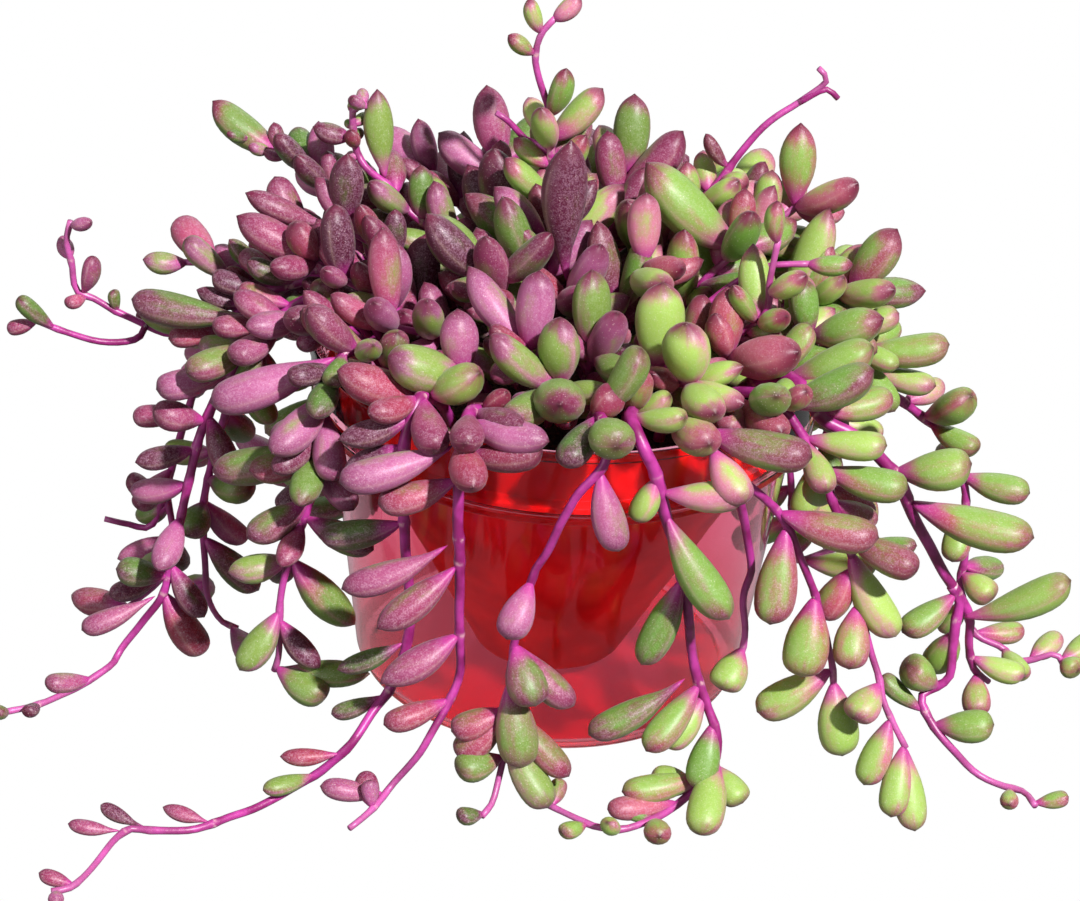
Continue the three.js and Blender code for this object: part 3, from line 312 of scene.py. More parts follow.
# Each stem starts in its hole, given by x and y, and passes through the points of its route.
# green is the share of its leaves that are green. fill is the stretches where leaves grow by
# rule: from, to, spacing and leaf length. large is single big leaves: where on the route they
# grow, where their tip is, how wide they are and, where it shows, how green and how pale.
STRANDS = [
    dict(name="strand_left_low", hole=(-40, -11), thick=2.6, green=0.15,
         route=[(-50, -13, 88), (-59, -14, 89), (-71, -14, 79), (-79, -14, 62), (-83, -17, 45),
             (-85, -19, 34), (-88, -21, 20), (-97, -22, 6), (-99, -27, 4), (-106, -34, 2),
             (-113, -41, 2), (-120, -45, 2)],
         fill=[(28, 116, 9, 17), (158, 170, 6, 7)],
         large=[(109, (-78, -24, 17), 6.4, 0.1, 0.15), (112, (-98, -22, 27), 6.8, 0.75, 0.1),
             (116, (-105, -28, 14), 5.8, 0, 0.6), (145, (-112, -37, 5), 5, 0.35, 0.6),
             (74, (-90, -18, 66), 7.4, 0, 0.5)]),
    dict(name="strand_left_mid", hole=(-41, -4), thick=2.2, green=0.55,
         route=[(-51, -4, 87), (-59, -5, 89), (-70, -6, 77), (-76, -6, 58), (-80, -6, 38),
             (-80, -7, 21), (-79, -8, 12), (-76, -8, 6), (-72, -8, 4)],
         fill=[(28, 130, 11, 16)],
         large=[(45, (-97, 0, 84), 9, 0.6, 0.2), (90, (-69, -14, 45), 8, 0.9, 0.5),
             (96, (-83, -14, 32), 6.7, 0.8, 0.2)]),
    dict(name="strand_left_high", hole=(-41, 3), thick=2.2, green=0.2,
         route=[(-51, 3, 88), (-59, 3, 90), (-73, 3, 82), (-81, 4, 68), (-85, 4, 55), (-90, 6, 33),
             (-89, 4, 22), (-91, 0, 12), (-96, -3, 7), (-100, -6, 5)],
         branch=[(-89, 5, 28), (-94, 6, 22), (-100, 6, 22), (-105, 6, 23)], fill=[(28, 140, 10, 15)],
         large=[(112, (-99, 4, 36), 5.3, 0.1, 0.5), (120, (-101, 0, 16), 5.8, 0, 0.8)]),
    dict(name="strand_front_1", hole=(-33, -22), thick=2.2, green=0.35,
         route=[(-42, -28, 88), (-48, -33, 90), (-52, -36, 72), (-53, -40, 61), (-56, -42, 49),
             (-59, -43, 35), (-59, -44, 22), (-60, -44, 17)],
         fill=[(24, 60, 7, 17), (66, 100, 12, 15)],
         large=[(98, (-67, -49, 20), 7.6, 0.95, 0.7), (112, (-48, -50, 15), 8, 0.95, 0.5),
             (85, (-43, -40, 28), 9.3, 0.9, 0.4), (85, (-70, -46, 43), 7.1, 0.85, 0.8),
             (71, (-66, -46, 52), 8, 0.45, 0.3), (62, (-66, -43, 67), 7.6, 0.5, 0.4),
             (34, (-55, -34, 102), 8.5), (38, (-75, -36, 79), 10, 0.05, 0.85)]),
    dict(name="strand_front_2", hole=(-24, -32), thick=2.4, green=0.1,
         route=[(-28, -43, 88), (-31, -50, 89), (-33, -53, 78), (-32, -53, 58), (-30, -54, 38),
             (-33, -56, 24), (-37, -60, 19), (-41, -66, 14), (-46, -66, 8), (-51, -67, 4),
             (-60, -74, 2), (-66, -79, 2), (-73, -84, 2), (-82, -85, 2), (-86, -85, 2), (-89, -90, 2),
             (-92, -99, 2), (-95, -106, 2), (-99, -108, 2)],
         fill=[(24, 48, 6, 18), (196, 206, 5, 6)],
         large=[(94, (-45, -57, 27), 5.3, 0.7, 0), (107, (-46, -58, 16), 4.4, 0.6, 0.1),
             (123, (-56, -68, 11), 4.4), (131, (-61, -72, 3), 5), (157, (-80, -78, 3), 3.6),
             (176, (-99, -86, 3), 3.6), (170, (-93, -80, 4), 3.4), (29, (-50, -46, 92), 10.3),
             (33, (-17, -51, 98), 10.5)]),
    dict(name="strand_front_3", hole=(-13, -38), thick=2.6, green=0.05,
         route=[(-17, -47, 87), (-20, -56, 90), (-21, -60, 80), (-20, -60, 58), (-19, -60, 39),
             (-19, -60, 28), (-24, -66, 18), (-27, -67, 12), (-31, -67, 6), (-33, -69, 4),
             (-36, -75, 3), (-40, -80, 2)],
         fill=[(24, 44, 6, 18)],
         large=[(52, (-37, -64, 73), 7.6, 0.15, 0.54), (66, (-44, -64, 52), 7.6, 0.1, 0.6),
             (72, (-36, -69, 46), 7.6, 0.25, 0.45), (89, (-35, -67, 31), 8, 0.1, 0.55),
             (105, (-34, -68, 21), 6.2, 0.1, 0.4), (131, (-47, -71, 6), 5.3),
             (136, (-38, -66, 7), 4.5), (47, (-2, -62, 90), 9.3)]),
    dict(name="strand_front_4", hole=(4, -40), thick=2, green=0.58,
         route=[(6, -48, 88), (8, -57, 92), (9, -63, 86), (3, -64, 77), (-2, -62, 62), (-4, -62, 58),
             (-7, -62, 42), (-8, -62, 28), (-8, -64, 15), (-9, -66, 8), (-10, -70, 4), (-12, -74, 3)],
         fill=[(24, 38, 6, 17)],
         large=[(50, (13, -68, 68), 7.6, 0.15, 0.7), (81, (-9, -70, 46), 7.1, 0.1, 1),
             (97, (-2, -69, 29), 8.9, 0.5, 0.3), (97, (6, -65, 27), 7.6, 0.35, 0.5),
             (106, (-4, -69, 13), 9.3, 0.7, 0.5), (111, (6, -67, 10), 7.1, 0.45, 0.4),
             (113, (-18, -65, 12), 8.4, 0.3, 0.4), (124, (-18, -70, 12), 6.7, 1, 0.4),
             (39, (11, -69, 93), 9.2, 0.9, 0.5), (140, (-17, -77, 5), 3.6)]),
    dict(name="strand_front_5", hole=(13, -37), thick=2.8, green=0.8,
         route=[(14, -45, 88), (14, -56, 92), (17, -61, 88), (20, -60, 81), (23, -59, 70),
             (26, -57, 60), (29, -56, 47), (31, -55, 34), (35, -57, 24), (38, -60, 16), (36, -61, 8),
             (31, -64, 3), (26, -69, 2), (19, -74, 2), (13, -74, 2), (8, -71, 2), (2, -67, 2)],
         fill=[(24, 38, 6, 17), (140, 176, 8, 7)],
         large=[(63, (37, -66, 52), 9.3, 0.85, 0.2), (82, (20, -61, 36), 8, 0.75, 0),
             (106, (10, -61, 17), 7.6, 0.6, 0), (109, (19, -66, 17), 8.4, 0.75, 0.3),
             (118, (34, -66, 8), 7.1, 0.9, 0.1), (128, (42, -71, 4), 8, 0.9, 0.6),
             (134, (24, -60, 6), 6.7, 0.95, 0.5), (147, (26, -80, 5), 5.4, 0.6, 0.4),
             (59, (38, -64, 81), 7.6, 0.5, 0.9), (55, (12, -64, 71), 7.6, 0.95, 0.8),
             (38, (0, -62, 85), 8.1)]),
    dict(name="strand_front_6", hole=(21, -33), thick=2.6, green=0.65,
         route=[(22, -43, 87), (27, -53, 91), (31, -57, 87), (37, -56, 76), (40, -53, 65),
             (42, -52, 56), (41, -51, 48), (42, -51, 38), (41, -52, 30)],
         branch=[(31, -57, 87), (38, -57, 80), (45, -55, 73), (49, -55, 67), (54, -54, 56),
             (58, -54, 45), (61, -54, 35), (62, -54, 29)],
         fill=[(24, 40, 6, 18)],
         large=[(102, (35, -57, 27), 8.4, 0.95, 0.6), (44, (51, -61, 89), 9.3, 0.4, 0.1),
             (48, (38, -66, 80), 7.6, 0.5, 0.9)],
         large_on_branch=[(22, (67, -58, 69), 9.3, 0.4, 0.25), (26, (46, -64, 50), 8.9, 0.45, 0.3),
             (45, (54, -62, 36), 9.8, 0.65, 0.4), (67, (65, -60, 15), 9.3, 0.9, 0.6),
             (64, (46, -57, 23), 8.9, 0.85, 0.5)]),
    dict(name="strand_front_7", hole=(29, -26), thick=2.4, green=0.75,
         route=[(36, -34, 88), (44, -42, 91), (51, -45, 84), (56, -46, 76), (57, -46, 73),
             (63, -49, 59), (64, -51, 52), (69, -55, 39), (71, -57, 34), (73, -60, 28), (78, -63, 20)],
         fill=[(24, 44, 6, 18), (52, 76, 9, 17)],
         large=[(80, (74, -53, 42), 8.9, 0.95, 0.9), (92, (64, -61, 38), 7.6, 0.55, 0.5),
             (110, (65, -64, 26), 7.6, 0.6, 0.7), (118, (68, -67, 12), 7.6, 0.75, 0.6),
             (125, (73, -71, 6), 7.6, 0.85, 0.6), (127, (81, -72, 5), 7.1, 0.8, 0.7)]),
    dict(name="strand_right_arch", hole=(36, -17), thick=3.2, green=0.85,
         route=[(43, -25, 88), (50, -34, 91), (55, -37, 85), (62, -38, 82), (69, -38, 76),
             (73, -38, 71), (76, -37, 64), (81, -36, 55), (85, -36, 48), (89, -36, 42), (89, -37, 36),
             (89, -38, 30), (89, -39, 23), (85, -40, 20), (83, -42, 19), (85, -44, 15), (89, -47, 11),
             (96, -47, 4), (102, -49, 2), (107, -51, 2), (109, -56, 2)],
         branch=[(89, -36, 42), (92, -35, 37), (93, -34, 30), (95, -33, 22), (99, -32, 18)],
         fill=[(24, 48, 6, 18), (154, 174, 9, 8)],
         large=[(69, (87, -40, 78), 10.2, 0.9, 0.5), (77, (102, -42, 62), 10.2, 0.75, 0.4),
             (109, (112, -39, 50), 8.9, 0.95, 0.5), (103, (77, -42, 36), 7.1, 0.9, 0.3),
             (134, (74, -40, 23), 4.6, 0.8, 0.1), (137, (99, -46, 16), 8, 1, 0.3)],
         large_on_branch=[(21, (106, -36, 23), 5.8), (26, (96, -42, 15), 6.2)]),
    dict(name="strand_right_low", hole=(40, -6), thick=2.4, green=0.9,
         route=[(49, -5, 88), (58, -2, 89), (65, 3, 80), (72, 6, 71), (83, 8, 62), (88, 8, 57),
             (91, 8, 50), (94, 8, 44), (96, 8, 27), (96, 8, 18), (100, 5, 8), (107, 3, 5), (110, 1, 3),
             (114, 0, 4), (119, 0, 6), (121, -1, 4)],
         fill=[(26, 56, 6, 17), (66, 160, 9, 15)],
         large=[(50, (85, 3, 84), 8.6), (76, (91, 0, 73), 8.9), (120, (103, 2, 19), 6.7),
             (163, (124, -5, 5), 4.9)]),
    dict(name="shoot_left_reach", hole=(-41, 10), thick=2, green=0.25,
         route=[(-51, 10, 88), (-59, 10, 88), (-71, 9, 79), (-82, 9, 72), (-90, 9, 71), (-95, 9, 73),
             (-102, 9, 76), (-107, 9, 79), (-111, 9, 81), (-112, 9, 87), (-113, 9, 93), (-112, 9, 98)],
         branch=[(-90, 9, 71), (-97, 4, 72), (-105, 2, 72), (-113, 0, 75), (-119, -1, 78)],
         fill=[(28, 66, 7, 15), (74, 114, 9, 7)],
         large=[(95, (-107, 8, 90), 4.4)],
         large_on_branch=[(23, (-122, -3, 84), 4.4), (32, (-125, -1, 75), 3.4)]),
    dict(name="shoot_left_rise", hole=(-38, 17), thick=2, green=0.3,
         route=[(-47, 18, 88), (-57, 17, 92), (-67, 14, 88), (-75, 12, 84), (-80, 12, 88),
             (-87, 12, 88)],
         fill=[(24, 66, 5, 15)], large=[(72, (-96, 10, 89), 5.3)]),
]
TALL_SHOOTS = [
    dict(name="shoot_top_centre", hole=(-3, 9), thick=2, green=0.9,
         route=[(-4, 14, 95), (-6, 20, 115), (-7, 20, 126), (-10, 20, 135), (-11, 20, 140),
             (-10, 20, 145), (-7, 20, 149)],
         branch=[(-6, 20, 116), (-9, 22, 118), (-12, 24, 118), (-16, 24, 122), (-19, 24, 124)],
         fill=[(24, 60, 5, 15)],
         large=[(91, (-2, 21, 154), 4.2), (86, (-13, 20, 153), 4), (81, (-17, 18, 145), 4),
             (66, (-4, 18, 138), 5.8), (58, (-9, 14, 130), 6.2)]),
    dict(name="shoot_top_right", hole=(13, 12), thick=2, green=0.6,
         route=[(18, 16, 92), (26, 20, 104), (32, 24, 111), (38, 26, 120), (43, 28, 125),
             (49, 30, 129), (54, 30, 134), (52, 30, 137)],
         branch=[(49, 30, 129), (54, 30, 132), (57, 30, 130)], fill=[(22, 52, 4.5, 15)],
         large=[(59, (28, 24, 122), 3.6), (56, (38, 20, 112), 5.6)]),
    dict(name="shoot_top_left", hole=(-19, 14), thick=2, green=0.55,
         route=[(-27, 19, 92), (-37, 22, 99), (-42, 24, 104), (-47, 26, 107), (-50, 28, 111),
             (-51, 28, 116), (-51, 28, 121), (-48, 28, 122)],
         fill=[(22, 50, 4.5, 15), (60, 78, 6, 6)],
         large=[(66, (-60, 28, 116), 4.9), (53, (-46, 30, 125), 7.1, 0.95, 0.8)]),
    dict(name="shoot_back_left", hole=(-27, 24), thick=2, green=0.55,
         route=[(-38, 28, 90), (-48, 30, 96), (-56, 30, 100), (-63, 32, 105), (-70, 34, 107),
             (-76, 34, 110)],
         fill=[(22, 60, 4.5, 15), (64, 77, 5, 7)], large=[(68, (-88, 38, 116), 9.4, 0.9, 0.4)]),
    dict(name="shoot_right_rise", hole=(17, -13), thick=2, green=0.62,
         route=[(21, -17, 86), (29, -21, 92), (38, -22, 97), (42, -22, 102), (42, -20, 108),
             (43, -20, 118)],
         branch=[(21, -17, 86), (27, -14, 96), (36, -12, 104), (42, -12, 108), (51, -12, 109)],
         fill=[(22, 50, 4.5, 15)],
         large=[(70, (42, -20, 127), 4.6), (57, (49, -26, 113), 5.8), (50, (34, -27, 110), 4.9)],
         large_on_branch=[(48, (60, -13, 110), 4.6)]),
]
CROWN_SHOOTS = [
    dict(hole=(-1, -6), end=(0, -5, 94), green=0.42, large=[(-2, -3, 130, 10.6, 0, 0.1)]),
    dict(hole=(9, -3), end=(16, -5, 104), green=0.60, large=[(15, -3, 119, 7.5)]),
    dict(hole=(22, 2), end=(37, 5, 104), green=0.83, large=[(15, 8, 121, 12.4, 1, 0.35)]),
    dict(hole=(-11, -4), end=(-17, -8, 99), green=0.23,
         large=[(-32, -8, 113, 9.4, 0.15, 0.05), (-4, -12, 113, 8, 0.35, 0.2)]),
    dict(hole=(-8, -20), end=(-8, -34, 95), green=0.33, large=[(-7, -30, 112, 8.5, 0, 1)]),
    dict(hole=(4, -22), end=(6, -30, 94), green=0.49, large=[(4, -28, 112, 9.4, 1, 0.6)]),
    dict(hole=(-3, -31), end=(-1, -41, 91), green=0.41,
         large=[(-2, -41, 107, 10, 0.9, 0.8), (-1, -60, 97, 11, 0.85, 0.5)]),
    dict(hole=(13, -23), end=(20, -32, 92), green=0.64, large=[(19, -30, 111, 10.8, 1, 0.8)]),
    dict(hole=(20, -22), end=(26, -42, 94), green=0.71,
         large=[(24, -44, 109, 10.8, 1, 0.9), (31, -58, 98, 9)]),
    dict(hole=(26, -15), end=(35, -26, 92), green=0.81,
         large=[(33, -24, 108, 8.5, 0.05, 0.54), (48, -38, 101, 11)]),
    dict(hole=(31, -9), end=(53, -15, 93), green=0.90, large=[(54, -12, 109, 8.5), (67, -20, 101, 10)]),
    dict(hole=(32, 3), end=(63, 6, 95), green=0.90, large=[(71, 8, 109, 10), (82, 10, 96, 9)]),
    dict(hole=(27, 14), end=(50, 22, 107), green=0.90, large=[(49, 26, 125, 8.5)]),
    dict(hole=(-31, -5), end=(-50, -9, 97), green=0.08, large=[(-52, -8, 114, 8.5, 0, 0.05)]),
    dict(hole=(-31, 3), end=(-57, 0, 97), green=0.08, large=[(-74, 2, 105, 9, 0, 0.45)]),
    dict(hole=(-29, 11), end=(-52, 11, 100), green=0.08, large=[(-51, 12, 117, 8.1, 0.1, 0.08)]),
    dict(hole=(-19, -11), end=(-39, -20, 92), green=0.08, large=[(-41, -16, 113, 7.6, 0.2, 0.95)]),
    dict(hole=(-15, -26), end=(-22, -41, 92), green=0.18,
         large=[(-37, -46, 98, 11, 0.95, 0.9), (-23, -38, 107, 9, 0.05, 0.7)]),
    dict(hole=(-6, 0), end=(-6, 4, 105), green=0.35, large=[(-18, 6, 114, 8, 0.3, 0.75)]),
    dict(hole=(5, 24), end=(12, 40, 104), green=0.55, large=[(12, 46, 121, 8.5)]),
    dict(hole=(-12, 22), end=(-18, 42, 104), green=0.22, large=[(-22, 48, 120, 9)]),
    dict(hole=(20, 26), end=(38, 44, 96), green=0.84, large=[(44, 58, 104, 9)]),
    dict(hole=(-15, 32), end=(-34, 50, 96), green=0.08, large=[(-46, 61, 102, 9)]),
    dict(hole=(-2, 32), end=(3, 60, 96), green=0.45, large=[(2, 74, 99, 9)]),
]
BACK_STRANDS = [
    dict(turn=22, sway=6, end=30, run=0),
    dict(turn=42, sway=-8, end=3, run=22),
    dict(turn=62, sway=7, end=24, run=0),
    dict(turn=82, sway=9, end=3, run=40),
    dict(turn=103, sway=-8, end=34, run=0),
    dict(turn=124, sway=8, end=3, run=30),
    dict(turn=146, sway=-5, end=18, run=0),
]


def points_of(route):
    """A smooth line through a route, in fine steps, as points in a row each."""
    corners = np.array(route, float)
    before = np.vstack([2 * corners[0] - corners[1], corners, 2 * corners[-1] - corners[-2]])
    line = []
    for step in range(FINE_STEPS * (len(corners) - 1) + 1):
        span = min(step // FINE_STEPS, len(corners) - 2)
        t = step / FINE_STEPS - span
        p0, p1, p2, p3 = before[span:span + 4]
        lead, tail = 0.5 * (p2 - p0), 0.5 * (p3 - p1)
        line.append(p1 + lead * t + (-3 * p1 + 3 * p2 - 2 * lead - tail) * t ** 2
                    + (2 * p1 - 2 * p2 + lead + tail) * t ** 3)
    return np.array(line)


class Path:
    """A line through points, with the distance covered at each of them."""

    def __init__(self, points):
        self.points = np.array(points, float)
        steps = np.linalg.norm(np.diff(self.points, axis=0), axis=1)
        self.reach = np.concatenate([[0], np.cumsum(steps)])
        self.length = self.reach[-1]

    def walk(self, distance):
        """The point at a distance along the line, and the way the line runs there."""
        after = 1
        while after < len(self.points) - 1 and self.reach[after] < distance:
            after += 1
        step = self.points[after] - self.points[after - 1]
        run = self.reach[after] - self.reach[after - 1]
        share = min((distance - self.reach[after - 1]) / run, 1)
        return self.points[after - 1] + share * step, step / run


def stations_of(path, start_radius):
    """The points that a stem's solid is drawn through, evenly spaced, and their radii."""
    steps = max(2, math.ceil(path.length / STEM_STEP))
    points, radii = [], []
    for step in range(steps + 1):
        point, _ = path.walk(step / steps * path.length)
        radius = start_radius + (STEM_TIP_RADIUS - start_radius) * step / steps
        point[2] = max(point[2], radius + FLOOR_GAP)
        points.append(point)
        radii.append(radius)
    return np.array(points), radii


def back_strand(index, turn, sway, end, run):
    def at(radius, height):
        angle = math.radians(turn + sway * (1 - height / BACK_HOLE_HEIGHT))
        return (radius * math.cos(angle), radius * math.sin(angle), height)

    route = [at(*corner) for corner in BACK_SHOULDER]
    top = BACK_SHOULDER[-1][1]
    height = top - BACK_STEP
    while height > end + BACK_STEP / 2:
        route.append(at(BACK_RADIUS + BACK_FLARE * (top - height), height))
        height -= BACK_STEP
    route.append(at(BACK_END_RADIUS, end))
    if run > 0:
        route += [at(BACK_END_RADIUS + run / 2, FLOOR_HEIGHTS[0]),
                  at(BACK_END_RADIUS + run, FLOOR_HEIGHTS[1])]
    return dict(name=f"strand_back_{index}", hole=at(BACK_HOLE_RADIUS, BACK_HOLE_HEIGHT)[:2],
                thick=BACK_THICK, green=0.5 + 0.4 * math.cos(math.radians(turn)), route=route,
                fill=BACK_FILL)


def crown_shoot(index, hole, end, green, large):
    foot = (*hole, HOLE_HEIGHTS[-1])
    middle = [low + share * (high - low) for low, high, share in zip(foot, end, CROWN_BEND)]
    return dict(name=f"shoot_crown_{index}", hole=hole, thick=CROWN_THICK, green=green,
                route=[middle, end], fill=CROWN_FILL, crowded=True,
                large=[(AT_THE_END, (x, y, z), *looks) for x, y, z, *looks in large])


PLANTS = [
    *STRANDS,
    *(dict(shoot, crowded=True) for shoot in TALL_SHOOTS),
    *(crown_shoot(index, **shoot) for index, shoot in enumerate(CROWN_SHOOTS, 1)),
    *(back_strand(index, **strand) for index, strand in enumerate(BACK_STRANDS, 1)),
]

for plant in PLANTS:
    foot = [(*plant["hole"], height) for height in HOLE_HEIGHTS]
    plant["lines"] = [Path(points_of(foot + list(plant["route"])))]
    points, radii = stations_of(plant["lines"][0], plant["thick"] / 2)
    plant["stems"] = [(points, radii)]
    if "branch" in plant:
        gaps = np.linalg.norm(points - np.array(plant["branch"][0], float), axis=1)
        route = [tuple(points[gaps.argmin()]), *plant["branch"][1:]]
        plant["lines"].append(Path(points_of(route)))
        plant["stems"].append(stations_of(plant["lines"][1], plant["thick"] * BRANCH_SHARE))
    plant["paths"] = [Path(points) for points, _ in plant["stems"]]

# The leaves are fleshy clubs on a thin neck, spread round the stem. The big ones stand where
# the photo shows them. The rest follow a rule with seeded draws: a golden turn on from the last,
# and turned further or made smaller where they would touch another stem or leaf. The draws are
# the same as in the solids, so every leaf of the solids is here, and more are added after them.
# Rules on size give the least share and the range of a draw. Habits give how far leaves lean
# along the stem, out from the pot and up.
LEAF_WIDTH_SHARE = 0.44
LEAF_GAP = 0.3
STEM_GAP = 0.15
POT_GAP = 0.4
STEEPEST_RAISED = 0.85
GOLDEN_TURN = 2.39996
LAST_ROOT = 1
NECK_FROM, NECK_TO, NECK_WIDTH = 0.08, 0.4, 0.5
BODY_END = 0.84
NEAREST_OWN_LEAF = 0.8
NEAREST_OWN_STEM = 0.4
MOST_BARS = 9000
SOLID_SEED, SEED_STEP = 1000, 77
SIZE_LEAST, SIZE_RANGE = 0.82, 0.36
WIDTH_LEAST, WIDTH_RANGE = 0.94, 0.12
SPACE_LEAST, SPACE_RANGE = 0.8, 0.4
TURN_RANGE = 0.5
TRIES = 16
NUDGE_PER_TRY = 0.08
TURN_PER_TRY = 1.1
LARGE_SHRINK = 0.02
MOVED_FAR = 6
FILL_SHRINK = 0.02
SIDE_LIFT = 0.35
TRAILING = (0.45, 0.35, -0.15)
CROWDED = (0.5, 0.45, 0.25)
TESTED = [(0.2, 0.4), (0.4, 0.85), (0.6, 1), (0.82, 0.8), (1, 0.1)]


def draws_from(seed):
    """A repeatable run of draws between 0 and 1."""
    state = seed
    while True:
        state = (state * 1664525 + 1013904223) % 4294967296
        yield state / 4294967296


class Bars:
    """Straight bars with a radius that stand for stems and leaves while leaves are placed."""

    def __init__(self):
        self.starts, self.spans = np.zeros((MOST_BARS, 3)), np.zeros((MOST_BARS, 3))
        self.facts = np.zeros((MOST_BARS, 4))
        self.count = 0

    def add(self, node, start, end, radius, leafy):
        self.starts[self.count] = start
        self.spans[self.count] = end - start
        self.facts[self.count] = node, radius, leafy, np.linalg.norm(end - start) / 2
        self.count += 1

    def clear_of(self, node, start, end, radius, leafy, fit):
        """Whether a bar of a leaf keeps clear of every bar there is."""
        gap, own_leaf, own_stem = fit
        starts, spans = self.starts[:self.count], self.spans[:self.count]
        nodes, radii, leafies, halves = self.facts[:self.count].T
        span = end - start
        far = np.linalg.norm(starts + spans / 2 - (start + end) / 2, axis=1)
        near = far <= np.linalg.norm(span) / 2 + halves + radius + radii + max(gap, 0)
        if not near.any():
            return True
        v, w = spans[near], start - starts[near]
        uu, vv, uv, uw, vw = span @ span, (v * v).sum(1), v @ span, w @ span, (v * w).sum(1)
        spread = uu * vv - uv * uv
        s = np.where(spread > 1e-9, (uv * vw - uw * vv) / np.where(spread > 1e-9, spread, 1), 0)
        s = np.clip(s, 0, 1)
        t = (uv * s + vw) / vv
        s = np.where(t < 0, np.clip(-uw / uu, 0, 1), np.where(t > 1, np.clip((uv - uw) / uu, 0, 1), s))
        t = np.clip(t, 0, 1)
        apart = np.linalg.norm(w + s[:, None] * span - t[:, None] * v, axis=1)
        reach = radius + radii[near]
        nearest = np.where(leafies[near] > 0, own_leaf, own_stem) * reach
        others = nodes[near] != node
        return bool(np.where(others, apart > reach + gap, (not leafy) | (apart > nearest)).all())


def bars_of(leaf):
    """A leaf's neck and body, which other leaves and stems keep clear of."""
    def at(share):
        return leaf["root"] + share * leaf["length"] * leaf["axis"]

    return [(at(NECK_FROM), at(NECK_TO), NECK_WIDTH * leaf["half"], False),
            (at(NECK_TO), at(BODY_END), leaf["half"], True)]


def pot_radius_at(height):
    if height > COLLAR_FOOT - 1:
        return RIM_RADIUS
    return BASE_RADIUS + (BODY_TOP_RADIUS - BASE_RADIUS) * height / COLLAR_FOOT


def clear_of_pot(leaf):
    for share, width in TESTED:
        x, y, z = leaf["root"] + share * leaf["length"] * leaf["axis"]
        radius = width * leaf["half"] + POT_GAP
        out = math.hypot(x, y)
        if z > POT_HEIGHT + radius or out > pot_radius_at(z) + radius:
            continue
        if out >= INSERT_TOP_RADIUS - radius or z <= MIX_TOP + MIX_CROWN + radius:
            return False
    return True


def raised(leaf):
    """Tips a leaf up that would reach into the floor, until it only lies on it."""
    axis = leaf["axis"]
    steep = axis[2]
    for share, width in TESTED:
        least = (width * leaf["half"] + FLOOR_GAP - leaf["root"][2]) / (share * leaf["length"])
        steep = max(steep, least)
    if steep > max(axis[2], STEEPEST_RAISED):
        return False
    scale = math.sqrt(1 - steep * steep) / max(math.hypot(axis[0], axis[1]), 1e-6)
    leaf["axis"] = np.array([axis[0] * scale, axis[1] * scale, steep])
    return True


def unit(vector):
    return vector / np.linalg.norm(vector)


def growth_at(point, along, turn, habit):
    """The way a leaf grows at a turn round its stem."""
    side = np.array([math.cos(turn), math.sin(turn), SIDE_LIFT])
    side = unit(side - (side @ along) * along)
    out = unit(np.array([point[0], point[1], 0]))
    return unit(side + habit[0] * along + habit[1] * out + habit[2] * np.array([0, 0, 1]))


def try_leaf(leaf, fit):
    if not raised(leaf) or not clear_of_pot(leaf):
        return []
    if not all(bars.clear_of(leaf["node"], *bar, fit) for bar in bars_of(leaf)):
        return []
    for bar in bars_of(leaf):
        bars.add(leaf["node"], *bar)
    return [leaf]


def place_large(node, path, distance, tip, width, draw, fit, tries=TRIES):
    """A big leaf keeps its place, or is turned a little until it is clear of the rest."""
    distance = min(distance, path.length - LAST_ROOT)
    point, _ = path.walk(distance)
    reach = np.array(tip, float) - point
    for turn in range(tries):
        nudge = np.array([next(draw) - 0.5, next(draw) - 0.5, next(draw) - 0.5])
        shrink = 1 - LARGE_SHRINK * turn
        found = try_leaf({"node": node, "path": path, "at": distance / path.length,
                          "root": point.copy(), "half": width * shrink / 2,
                          "axis": unit(unit(reach) + NUDGE_PER_TRY * turn * nudge),
                          "length": np.linalg.norm(reach) * shrink}, fit)
        if found:
            return found
    return []


def place_stretch(node, path, stretch, habit, draw, fit):
    """The leaves of one stretch, from its tip end back, each a golden turn on from the last."""
    start, end, every, long = stretch
    placed = []
    turn = next(draw) * math.tau
    distance = min(end, path.length - LAST_ROOT)
    while distance > start:
        size = long * (SIZE_LEAST + SIZE_RANGE * next(draw))
        turn += GOLDEN_TURN
        point, along = path.walk(distance)
        for step in range(TRIES):
            axis = growth_at(point, along,
                             turn + step * TURN_PER_TRY + TURN_RANGE * next(draw), habit)
            length = size * (1 - FILL_SHRINK * step)
            half = length * LEAF_WIDTH_SHARE * (WIDTH_LEAST + WIDTH_RANGE * next(draw)) / 2
            found = try_leaf({"node": node, "path": path, "at": distance / path.length,
                              "root": point.copy(), "axis": axis, "length": length,
                              "half": half}, fit)
            placed += found
            if found:
                break
        distance -= every * (SPACE_LEAST + SPACE_RANGE * next(draw))
    return placed


bars = Bars()
for node, plant in enumerate(PLANTS):
    plant["draw"] = draws_from(SOLID_SEED + SEED_STEP * node)
    plant["leaves"], plant["missed"] = [], []
    for points, radii in plant["stems"]:
        for start, end, radius in zip(points, points[1:], radii[1:]):
            bars.add(node, start, end, radius + STEM_GAP, False)
SOLID_FIT = (LEAF_GAP, NEAREST_OWN_LEAF, NEAREST_OWN_STEM)
for node, plant in enumerate(PLANTS):
    for key, path in zip(("large", "large_on_branch"), plant["paths"]):
        for distance, tip, width, *skin in plant.get(key, []):
            found = place_large(node, path, distance, tip, width, plant["draw"], SOLID_FIT)
            plant["leaves"] += [dict(leaf, skin=skin) for leaf in found]
            gaps = [np.linalg.norm(leaf["root"] + leaf["length"] * leaf["axis"] - tip)
                    for leaf in found]
            if min(gaps, default=AT_THE_END) > MOVED_FAR:
                plant["missed"].append((path, distance, tip, width, skin))
